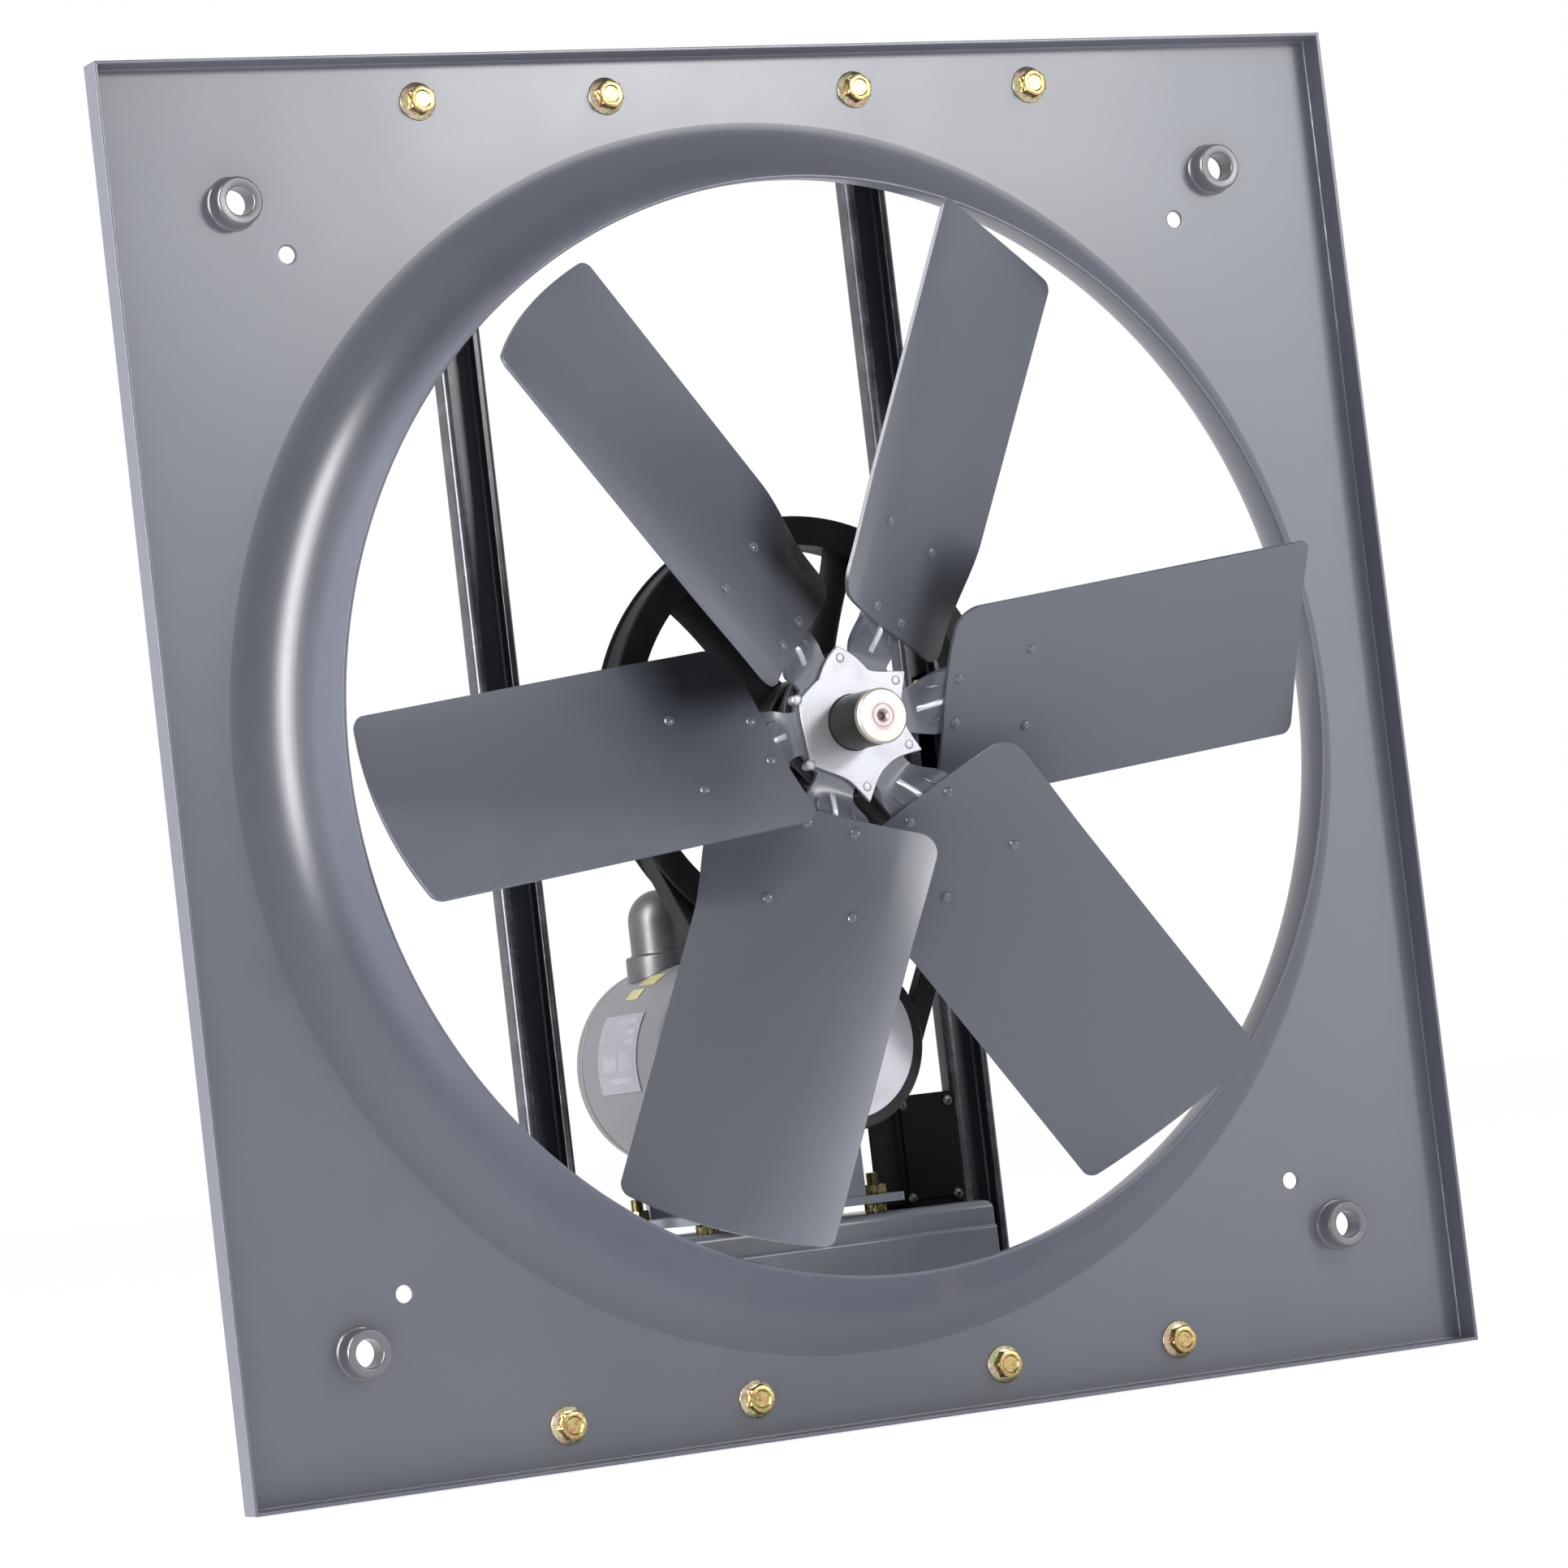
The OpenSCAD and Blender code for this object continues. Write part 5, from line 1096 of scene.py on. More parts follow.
def build_blades():
    """Six cambered blades of sheet metal, with their rivets."""
    s = mm_sizes()
    half = s["chord"] / 2
    span, across = 64, 48
    tip_pitch = math.radians(TIP_PITCH)
    front, back, film = [], [], []
    for i in range(span + 1):
        u = (i / span) ** 1.15
        rows = [], []
        film.append([])
        for j in range(across + 1):
            c = half * math.sin(-math.pi / 2 + math.pi * j / across)
            rise = s["camber"] * (2 * c / s["chord"]) ** 2
            t = c * math.cos(tip_pitch) - rise * math.sin(tip_pitch)
            tip = math.sqrt(s["tip_r"] ** 2 - t * t) - corner_cut(c, half, TIP_CORNER)
            root = s["root_r"] + corner_cut(c, half, ROOT_CORNER)
            rho = root + (tip - root) * u
            # painted shade of the turned back root corner, at this point of the grid
            film[-1].append(root_painted_shade(rho, c))
            for row, lift in zip(rows, (0.0, -s["blade_t"])):
                row.append(blade_point(s, rho, c, lift))
        front.append(rows[0])
        back.append(rows[1])
    rivets = bmesh.new()
    for k in range(BLADES):
        turn = turn_y(BLADE_START + BLADE_STEP * k)
        bm = bmesh.new()
        # each blade gets its own strength of painted shade
        grid_shell(bm, front, back, turn, film=[[value * ROOT_SHADE_SHARES[k] for value in row] for row in film])
        piece(f"blade_sheet_{k + 1}", bm, "propeller", f"blade_{k + 1}", blade_enamel(),
              bevel=0.4, limit=60, sharp=50)
        for rho, c in RIVETS:
            at = turn @ blade_frame(s, rho, c)
            lathe(rivets, dome_profile(3.2, 0.05, 1.8), at, 28, closed=False)
            lathe(rivets, rod_profile(2.4, -7.0, 0.2, 0.3), at, 20, closed=False)
    piece("blade_rivet_heads", rivets, "propeller", "blade_rivets",
          enamel("Rivet enamel", linear("#767d85"), rough=0.16, dust=0.1, wear=1.2, metal=(0.6, 0.61, 0.63)),
          sharp=60)


ARM_START = 33
ARM_BEND = 41.5
ARM_NECK = (38, 57)
ARM_FAN = (57, 113)
ARM_END = 128


def arm_point(s, rho, c, lift):
    """Front of a spider arm: flat at the hub, along the blade's back further out."""
    k = ease(ramp(rho, ARM_BEND, s["root_r"]))
    q = blade_point(s, rho, c, -s["blade_t"] - 0.15 + lift)
    return Vector((rho, (-56 - lift) * (1 - k) + q.y * k, c * (1 - k) + q.z * k))


def arm_half(rho):
    """Half width of a spider arm, with its end rounded."""
    w = 12.5 + 7.5 * ease(ramp(rho, *ARM_NECK)) + 12 * ease(ramp(rho, *ARM_FAN))
    past = max(0.0, rho - ARM_FAN[1]) / (ARM_END - ARM_FAN[1])
    return w * math.sqrt(max(0.1, 1 - 0.9 * past * past))


def build_spider():
    """Pressed spider: a disc with six twisted arms, stiffened by short bright ribs."""
    s = mm_sizes()
    bm = bmesh.new()
    lathe(bm, [(16.1, -56), (37, -56), (37, -52), (16.1, -52)], steps=96)
    sides = [math.sin(math.pi / 2 * (j / 4 - 1)) for j in range(9)]
    # place along the chord, start, end, half width and height of each rib
    ribs = [(0.0, 43.0, 58.5, 1.8, 2.2), (-10.5, 48.5, 56.5, 1.3, 1.1), (10.5, 48.5, 56.5, 1.3, 1.1)]
    for k in range(BLADES):
        turn = turn_y(BLADE_START + BLADE_STEP * k)
        rows = [ARM_START + (ARM_END - ARM_START) * i / 30 for i in range(31)]
        cols = [2 * j / 20 - 1 for j in range(21)]
        front = [[arm_point(s, rho, arm_half(rho) * c, -0.1) for c in cols] for rho in rows]
        back = [[arm_point(s, rho, arm_half(rho) * c, -3.9) for c in cols] for rho in rows]
        grid_shell(bm, front, back, turn)
        for middle, near, far, wide, high in ribs:
            front, back = [], []
            for i in range(13):
                rho = near + (far - near) * i / 12
                end = min(1.0, 4 * min(i, 12 - i) / 12)
                front.append([
                    arm_point(s, rho, middle + wide * c, high * end * max(0.0, 1 - c ** 4) - 0.1)
                    for c in sides
                ])
                back.append([arm_point(s, rho, middle + wide * c, -1.5) for c in sides])
            grid_shell(bm, front, back, turn, material=1 if middle == 0.0 else 0)
    # The middle rib of each arm is near-white bare metal: a painted highlight where the pressed rib catches
    # the light.
    rib_highlight_metal = bare_metal("Rib highlight", linear("#eceef4"), 0.5, metallic=0.55)
    piece("spider_pressing", bm, "propeller", "hub_spider", [blade_paint(), rib_highlight_metal],
          bevel=0.4, limit=50, sharp=45)


STAR_WAIST = 32.5
STAR_REACH = [46.5, 46.0, 44.5, 36.0, 37.5, 46.5]
STAR_POWER = [2.5, 2.0, 1.1, 1.6, 2.0, 2.5]


def star_outline():
    """Star with a point between each two arms; the points differ a little, as they were cut."""
    steps = 12
    out = []
    for i in range(BLADES):
        for j in range(steps):
            u = abs(2 * j / steps - 1)
            point = i if j < steps / 2 else (i + 1) % BLADES
            r = STAR_WAIST + (STAR_REACH[point] - STAR_WAIST) * u ** STAR_POWER[point]
            a = math.radians(BLADE_START + BLADE_STEP * (i + j / steps - 0.5))
            out.append((r * math.cos(a), r * math.sin(a)))
    return out


def build_hub():
    """Star plate, hub rivets, barrel, shaft and collar."""
    s = mm_sizes()
    look = finish_of()
    bm = bmesh.new()
    thick_plate(bm, star_outline(), [circle(0, 0, 16.0, 96)], -58.5, -56.05)
    bright = bare_metal("Bright plate", tuple(look.bright_plate), 0.42, fine=900.0, metallic=0.6)
    piece("star_plate", bm, "propeller", "hub_plate", bright, bevel=0.5)
    bm = bmesh.new()
    for k in range(BLADES):
        at = turn_y(BLADE_START + BLADE_STEP * (k + 0.5)) @ shift(37.5) @ FACING
        lathe(bm, dome_profile(2.4, 58.5, 0.15), at, 24, closed=False)
        lathe(bm, rod_profile(3, 46, 58.6, 0.3), at, 24, closed=False)
    piece("hub_rivet_heads", bm, "propeller", "hub_rivets", bright, sharp=60)
    bm = bmesh.new()
    lathe(bm, [(15.93, -52), (40.5, -52), (41.5, -51), (41.5, -47), (40.5, -46), (31, -46), (29, -44),
               (29, -17), (28, -16), (15.93, -16)], steps=96)
    piece("hub_casting", bm, "propeller", "hub_barrel", cast_iron(), bevel=0.6)
    bm = bmesh.new()
    r = s["shaft_r"]
    lathe(bm, [(0, -88.2), (2.2, -88.6), (2.2, -92.4), (3.9, -94)], material=2, closed=False)
    lathe(bm, [(3.9, -94), (6.2, -94), (6.5, -93.7), (6.9, -94), (8.6, -94)], material=2, closed=False)
    lathe(bm, [(8.6, -94), (r - 1.2, -94), (r, -92.8), (r, -89.4)], material=0, closed=False)
    lathe(bm, [(r, -89.4), (r, 46.8), (15, 46.8)], material=1, closed=False)
    lathe(bm, [(15, 46.8), (15, 199.2), (14.2, 200), (2.2, 200), (2.2, 194), (0, 193.4)], material=0,
          closed=False)
    piece("shaft_turned", bm, "propeller", "fan_shaft",
          [bare_metal("Machined face", tuple(look.turned_steel), 0.34, fine=2600.0,
                      stain=(0.5, 0.36, 0.42), stain_share=0.2, metallic=0.55),
           bare_metal("Oiled shaft", tuple(look.dark_steel), 0.32, fine=900.0,
                      stain=(0.03, 0.035, 0.02), stain_share=0.6, metallic=0.6),
           bare_metal("Centre drilled face", tuple(look.centre_steel), 0.36, fine=2600.0,
                      stain=(0.42, 0.28, 0.34), stain_share=0.7, metallic=0.55)],
          bevel=0.25, limit=25, sharp=25)
    bm = bmesh.new()
    lathe(bm, [(15.03, 183), (23, 183), (24, 184), (24, 194), (23, 195), (15.03, 195)], steps=96)
    hex_body(bm, 5, 22.5, 24.6, shift(0, 189, 0), 0.0, dish=1.0)
    piece("collar_turned", bm, "propeller", "locking_collar",
          bare_metal("Turned collar", linear("#b9b9b4"), 0.35), bevel=0.3)


def groove_profile(r_out, r_in):
    """Rim section of a sheave with its V groove and rounded lips."""
    y, half, deep = SHEAVE_Y, 12.0, 14.0
    top = BELT_WIDTH + 0.8 + 3.0 * GROOVE_SLOPE
    bottom = top - 2 * deep * GROOVE_SLOPE
    return [(r_in, y - half), (r_out - 1, y - half), (r_out, y - half + 1), (r_out, y - top / 2 - 0.5),
            (r_out - 0.6, y - top / 2), (r_out - deep, y - bottom / 2), (r_out - deep, y + bottom / 2),
            (r_out - 0.6, y + top / 2), (r_out, y + top / 2 + 0.5), (r_out, y + half - 1),
            (r_out - 1, y + half), (r_in, y + half)]


def tangent_point(centre, angle, r):
    """Point of the belt's run, at an angle round a sheave's centre."""
    return Vector((r * math.cos(angle), 0, centre + r * math.sin(angle)))


def build_drive():
    """Driven sheave, motor sheave and the belt round both."""
    s = mm_sizes()
    look = finish_of()
    bm = bmesh.new()
    big = s["driven_r"]
    lathe(bm, groove_profile(big, big - 17), steps=144)
    lathe(bm, [(15.95, -13), (30.5, -13), (32, -11.5), (32, 27.5), (30.5, 29), (15.95, 29)], steps=96)
    for k in range(SPOKES):
        turn = turn_y(SPOKE_START + 360 / SPOKES * k)
        rings = []
        for i in range(13):
            u = i / 12
            rho = 29 + (big - 15.5 - 29) * u
            flare = 1 + 0.55 * (1 - u) ** 3 + 0.3 * u ** 6
            w, d = 9.5 * min(flare, 1.6) * 0.92, 4.5 * (1 + 0.5 * (1 - u) ** 2)
            rings.append([
                bm.verts.new(turn @ Vector((
                    rho, SHEAVE_Y + d * math.sin(TURN * j / 20), w * math.cos(TURN * j / 20)
                )))
                for j in range(20)
            ])
        add_faces(bm, rings)
        for end in (rings[0], rings[-1]):
            bm.faces.new(end)
    piece("driven_sheave_casting", bm, "propeller", "driven_sheave", cast_iron(),
          bevel=0.5, limit=40, sharp=40)
    bm = bmesh.new()
    small = s["motor_sheave_r"]
    low = shift(0, 0, -s["drop"]) @ ALONG_Y
    lathe(bm, groove_profile(small, 7.03), low, 120, material=1)
    lathe(bm, [(19.9, -4.05), (44.2, -4.05), (44.6, -3.7), (44.6, -3.5), (19.9, -3.5)], low, 120)
    lathe(bm, [(7.03, -4.4), (19.4, -4.4), (20, -3.8), (20, 29.2), (19.2, 30), (7.03, 30)], low, 72)
    piece("motor_sheave_turned", bm, "rotor", "motor_sheave",
          [bare_metal("Turned sheave", tuple(look.sheave_metal), 0.42, axis_z=-s["drop"] * MM,
                      fine=1300.0, metallic=0.35), cast_iron()], bevel=0.3, limit=30)
    bm = bmesh.new()
    r1, r2 = big - 1.5, small - 1.5
    lean = math.asin((r1 - r2) / s["drop"])
    # stations of the belt: round a sheave its centre, angle and radius; on a straight run None,
    # the share of the way and the side
    stations = []
    for i in range(97):
        stations.append((0.0, -lean + (math.pi + 2 * lean) * i / 96, r1))
    for i in range(1, 13):
        stations.append((None, i / 13, 1))
    for i in range(65):
        stations.append((-s["drop"], math.pi + lean + (math.pi - 2 * lean) * i / 64, r2))
    for i in range(1, 13):
        stations.append((None, i / 13, -1))
    inner = BELT_WIDTH - 22 * GROOVE_SLOPE
    section = [(0.5, -8.3), (0.0, -7.6), (0.0, 0.0), (0.0, 7.6), (0.5, 8.3), (10.6, inner / 2 + 0.1),
               (11.0, inner / 2 - 0.5), (11.0, -inner / 2 + 0.5), (10.6, -inner / 2 - 0.1)]
    rings = []
    for centre, angle, r in stations:
        ring = []
        for deep, side in section:
            if centre is None:
                leaving = math.pi + lean if r > 0 else -lean
                a = tangent_point(0.0, leaving, r1 - deep)
                b = tangent_point(-s["drop"], leaving, r2 - deep)
                if r < 0:
                    a, b = b, a
                p = a.lerp(b, angle)
            else:
                p = tangent_point(centre, angle, r - deep)
            ring.append(bm.verts.new((p.x, SHEAVE_Y + side, p.z)))
        rings.append(ring)
    add_faces(bm, rings, path_closed=True)
    piece("belt_loop", bm, "frame", "v_belt",
          casting("Belt rubber", tuple(look.belt_black), rough=0.62, grain=900.0, depth=0.00012,
                  specular=0.35), sharp=30)


def bell_profile(r, depth, bore):
    """Outside of an end bell, from its boss to its rim: radius and depth from the end."""
    out = [(bore, 2.5), (bore + 2.5, 2.5), (bore + 4.5, 0.0), (22.0, 0.0), (24.0, 1.6)]
    out += [(r - 17, 2.2)]
    for i in range(1, 13):
        a = math.pi / 2 * i / 12
        out.append((r - 15 + 15 * math.sin(a), 2.2 + 14 * (1 - math.cos(a))))
    return out + [(r, depth)]


def build_cover(s, base):
    """Capacitor cover: a flange that follows the motor's shell, and a domed can."""
    r, side, steps = s["motor_r"], s["cover_side"], 96
    at = base @ shift(-side, 197, 0)

    def ring_at(radius, height):
        """Level ring round the can."""
        return [bm.verts.new(at @ Vector((x, y, height))) for x, y in circle(0, 0, radius, steps)]

    def saddle(radius, lift):
        """Ring that lies on the motor's shell."""
        return [bm.verts.new(at @ Vector((x, y, math.sqrt((r + lift) ** 2 - (x - side) ** 2))))
                for x, y in circle(0, 0, radius, steps)]

    bm = bmesh.new()
    rings = [saddle(17.0, 0.15), saddle(23.0, 0.15), saddle(23.0, 1.6)]
    for radius, lift in ((22.9, 5.4), (22.2, 6.6), (20.2, 7.0), (19.3, 7.6), (19.0, 9.0), (19.0, 27.0)):
        rings.append(ring_at(radius, r + lift))
    for i in range(1, 12):
        a = math.pi / 2 * i / 12
        rings.append(ring_at(19 * math.cos(a), r + 27 + 19 * math.sin(a)))
    rings.append([bm.verts.new(at @ Vector((0, 0, r + 46)))])
    add_faces(bm, rings)
    bm.faces.new(rings[0])
    piece("capacitor_can", bm, "frame", "capacitor_cover",
          casting("Cover plastic", tuple(finish_of().cover_plastic), rough=0.42, grain=1200.0,
                  depth=0.00004), bevel=0.3, limit=40, sharp=40)


def build_label(s, base):
    """Blank label and plain stickers on the motor's shell."""
    r = s["motor_r"]
    look = finish_of()
    bm = bmesh.new()

    def curved_patch(angle_from, angle_to, y_from, y_to, lift, thick, material):
        """Thin sheet that follows the shell between two angles and two depths."""
        front, back = [], []
        for i in range(17):
            a = math.radians(angle_from + (angle_to - angle_from) * i / 16)
            rows = [], []
            for j in range(9):
                y = y_from + (y_to - y_from) * j / 8
                for row, q in zip(rows, (lift + thick, lift)):
                    row.append(Vector(((r + q) * math.cos(a), y, (r + q) * math.sin(a))))
            front.append(rows[0])
            back.append(rows[1])
        grid_shell(bm, front, back, base, material)

    curved_patch(147.5, 192.5, 145, 197, 0.1, 0.6, 0)
    for low, high, y0, y1 in ((150, 154, 150, 178), (157, 160, 150, 190), (163, 165.5, 150, 190),
                              (170, 180, 150, 168), (170, 180, 172, 190), (184, 187, 150, 184)):
        curved_patch(low, high, y0, y1, 0.68, 0.1, 1)
    for low, high, y0, y1 in ((116, 126, 160, 182), (129, 137, 168, 184)):
        curved_patch(low, high, y0, y1, 0.12, 0.25, 2)
    piece("motor_label", bm, "frame", "rating_plate",
          [bare_metal("Label metal", tuple(look.label_metal), 0.4, fine=200.0, metallic=0.3),
           casting("Label tone", linear("#a3a2ad"), rough=0.5, grain=900.0, depth=0.00002),
           casting("Sticker", tuple(look.sticker), rough=0.5, grain=700.0, depth=0.00003)], sharp=50)


def build_motor():
    """Motor shell, end bells and tie bolts, then the cover and the label."""
    s = mm_sizes()
    r = s["motor_r"]
    base = shift(0, 0, -s["drop"])
    metal = motor_enamel()
    bm = bmesh.new()
    lathe(bm, [(58.5, 53.2), (60.4, 53.2), (61, 54), (61, 219.8), (60.4, 220.8), (58.5, 220.8)],
          base @ ALONG_Y, 128)
    piece("motor_body", bm, "frame", "motor_shell", metal, bevel=0.3)
    for name, node, end, way in (("front", "motor_front_bell", 33, 1), ("rear", "motor_rear_bell", 241, -1)):
        bm = bmesh.new()
        at = base @ shift(0, end, 0) @ Matrix.Rotation(-math.pi / 2 * way, 4, "X")
        outer = bell_profile(r, 20, 8.5)
        inner = [(r - 6, 20), (r - 6, 14), (r - 14, 6), (23.5, 6), (23.5, 17), (17.53, 17), (17.53, 6),
                 (8.5, 6)]
        lathe(bm, outer + inner, at, 128)
        # The vents are dark discs on the bell, not holes: painted shade standing for the dark inside of each
        # vent.
        for k in range(12):
            a = TURN * (k + 0.5) / 12
            turned = at @ Matrix.Rotation(a, 4, "Z")
            vent = circle(36, 0, 3.2, 16)
            rings = [[bm.verts.new(turned @ Vector((x, y, h))) for x, y in vent] for h in (1.7, 2.6)]
            add_faces(bm, rings, material=1)
            for ring in rings:
                bm.faces.new(ring).material_index = 1
        piece("motor_bell_" + name, bm, "frame", node,
              [metal, casting("Vent dark", linear("#141416"), rough=0.6)], bevel=0.4, limit=40)
    bm = bmesh.new()
    for k in range(4):
        at = base @ turn_y(45 + 90 * k) @ shift(42) @ ALONG_Y
        lathe(bm, rod_profile(2.5, 31, 243, 0.2), at, 20)
        hex_body(bm, 8, 33, 30.2, at, 0.3)
        hex_body(bm, 8, 241, 243.8, at, 0.7)
    piece("motor_tie_bolts", bm, "frame", "motor_through_bolts",
          bare_metal("Plain zinc", linear("#b4b4b6"), 0.36), sharp=28)
    build_cover(s, base)
    build_label(s, base)


def build_support():
    """Tray, cradle, studs, nuts and cleats under the motor."""
    paint = enamel("Tray enamel", tuple(finish_of().tray_paint))
    bm = bmesh.new()
    # the tray is built in its own plane, the sheet's top and then its skirt, and laid flat after
    radius = 5.0
    half_x, half_y = TRAY_HALF - radius, 65 - radius
    points, outs = square_loop(half_x, half_y, 12)
    tray_y = 135
    holes = [circle(sx * CRADLE_BOLT_X, y - tray_y, 4.5, 20) for sx in (-1, 1) for y in CRADLE_BOLT_Y]
    loops = flat_sheet(bm, points, holes, 0.0)
    fold(bm, loops[0], outs, Vector((0, 1, 0)), radius, mm_sizes()["tray_skirt"] - radius, True)
    bm.transform(shift(0, tray_y, TRAY_TOP) @ LYING)
    bmesh.ops.recalc_face_normals(bm, faces=bm.faces)
    flat = max(bm.faces, key=lambda f: f.calc_area())
    if flat.normal.z < 0:
        bmesh.ops.reverse_faces(bm, faces=bm.faces)
    piece("tray_pan", bm, "frame", "motor_tray", paint, bevel=0.6, solid=4, limit=50)
    bm = bmesh.new()
    outline = [(68.0, -319.0), (68.0, -297.2), (69.2, -295.8), (70.3, -295.2), (70.3, -319.0)]
    rings = [[bm.verts.new((x, y, z)) for y, z in outline] for x in (0.1 - TRAY_HALF, TRAY_HALF - 0.1)]
    add_faces(bm, rings)
    for ring in rings:
        bm.faces.new(ring)
    piece("tray_front_step", bm, "frame", None, paint, bevel=0.5, limit=25)
    bm = bmesh.new()
    holes = [circle(sx * CRADLE_BOLT_X, y, 4.5, 20) for sx in (-1, 1) for y in CRADLE_BOLT_Y]
    outline = fillet_path([(-70, 71), (70, 71), (70, 193), (-70, 193)], 6, 5, True)
    thick_plate(bm, outline, holes, 270.0, 275.0)
    bm.transform(LYING)
    half, foot, top = 45, -270.5, -210.5
    outline = [(-half, foot), (half, foot), (half, top)]
    for i in range(33):
        x = half - 2 * half * i / 32
        z = -180 - math.sqrt(61.15 ** 2 - x * x)
        if z < top:
            outline.append((x, z))
    outline.append((-half, top))
    for y in (76, 183):
        prism(bm, [(x, -z) for x, z in outline], y, y + 5, LYING)
    piece("cradle_saddles", bm, "frame", "motor_cradle", paint, bevel=0.5, limit=50)
    studs, nuts = bmesh.new(), bmesh.new()
    for i, (sx, y) in enumerate((sx, y) for sx in (-1, 1) for y in CRADLE_BOLT_Y):
        at = shift(sx * CRADLE_BOLT_X, y, 0)
        lathe(studs, threads(3.95, -292, -257, 1.25), at, 28)
        for k, (low, high) in enumerate(((-285, -291), (-281, -275), (-270, -264))):
            hex_body(nuts, 13, low, high, at, 0.3 + 0.5 * k + 0.4 * i, hole=4.1)
    dull = zinc_metal("Dull zinc", tuple(finish_of().dull_zinc))
    piece("cradle_stud_set", studs, "frame", "cradle_studs", dull, sharp=28)
    piece("cradle_nut_set", nuts, "frame", "cradle_nuts", dull, sharp=28)
    for side, name in ((1, "right"), (-1, "left")):
        bm = bmesh.new()
        sheet = 4
        inner = TRAY_HALF + sheet
        path = [(inner, 183), (inner, POST_BACK + sheet), (153, POST_BACK + sheet)]
        outline = strip_outline(fillet_path(path, [0, 1.5, 0], 4), -sheet)
        prism(bm, outline, -315, -285, Matrix.Scale(side, 4, (1, 0, 0)))
        piece("cleat_" + name, bm, "frame", name + "_tray_cleat", post_paint(),
              bevel=0.4, limit=50)


def build_junction_box():
    """Box with its lid, lid screws and gland."""
    # Near black plastic with hardly any gloss: partly its own colour, partly painted shade.
    plastic = casting("Box plastic", tuple(finish_of().box_plastic), rough=0.6, grain=1500.0,
                      depth=0.00004, specular=0.08)
    outline = fillet_path([(82, -281), (124, -281), (124, -214), (82, -214)], 3.5, 5, True)
    inner = fillet_path([(84.5, -278.5), (121.5, -278.5), (121.5, -216.5), (84.5, -216.5)], 2.0, 4, True)
    bm = bmesh.new()
    thick_plate(bm, outline, [inner], 102, 132)
    prism(bm, outline, 131.5, 134, UPRIGHT)
    piece("box_body", bm, "frame", "junction_box", plastic, bevel=0.6)
    bm = bmesh.new()
    prism(bm, outline, 99.2, 102, UPRIGHT)
    raised = fillet_path([(86, -277), (120, -277), (120, -218), (86, -218)], 3, 5, True)
    prism(bm, raised, 98.0, 99.6, UPRIGHT)
    piece("box_lid", bm, "frame", "junction_box_lid", plastic, bevel=0.6)
    bm = bmesh.new()
    for x in (87.5, 118.5):
        for z in (-275.5, -219.5):
            lathe(bm, [(0, 98.2), (3.2, 98.2), (3.1, 97.2), (2.2, 96.5), (0.9, 96.3), (0.8, 97.3), (0, 97.3)],
                  shift(x, 0, z) @ ALONG_Y, 24, closed=False)
    piece("box_lid_screws", bm, "frame", "lid_screws",
          bare_metal("Blackened screw", linear("#4c4c4e"), 0.36), sharp=30)
    bm = bmesh.new()
    at = shift(103, 0, -247.5) @ ALONG_Y
    hex_body(bm, 16, 134, 142, at, 0.2, hole=3.6)
    lathe(bm, [(3.5, 141.8), (7, 141.8), (7.2, 143), (6.6, 148.6), (5.6, 150), (3.5, 150)], at, 48)
    for k in range(14):
        ridge = at @ Matrix.Rotation(TURN * k / 14, 4, "Z")
        block(bm, (6.3, -0.5, 142.5), (7.4, 0.5, 148), ridge)
    piece("gland_body", bm, "frame", "cable_gland", plastic, bevel=0.2)


# Finish of each hidden node: its name, colour, roughness and the height of its axis in metres
GROUND_STEEL = ("Ground steel", "#c8c8c8", 0.22)
SPRING_STEEL = ("Spring steel", "#6b6a66", 0.4)
MOTOR_AXIS = -0.18
CARRIED_OVER = {
    "bearing_outer_rings": (*GROUND_STEEL, 0.0),
    "bearing_inner_rings": (*GROUND_STEEL, 0.0),
    "bearing_balls": (*GROUND_STEEL, 0.0),
    "retaining_rings": (*SPRING_STEEL, 0.0),
    "bearing_sleeve": (*SPRING_STEEL, 0.0),
    "shaft_keys": (*SPRING_STEEL, 0.0),
    "motor_bearings": (*GROUND_STEEL, MOTOR_AXIS),
    "motor_shaft": ("Motor shaft steel", "#b9b9b4", 0.3, MOTOR_AXIS),
    "motor_stator": ("Wound core", "#8a5a3a", 0.5, MOTOR_AXIS),
    "motor_rotor": ("Rotor core", "#9a9a98", 0.4, MOTOR_AXIS),
}


def dress_hidden():
    """Finishes of the nodes that keep their own shapes inside the bearings and the motor."""
    for node, (name, code, rough, axis) in CARRIED_OVER.items():
        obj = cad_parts[node]
        obj.data.materials.clear()
        obj.data.materials.append(bare_metal(name, linear(code), rough, axis_z=axis))


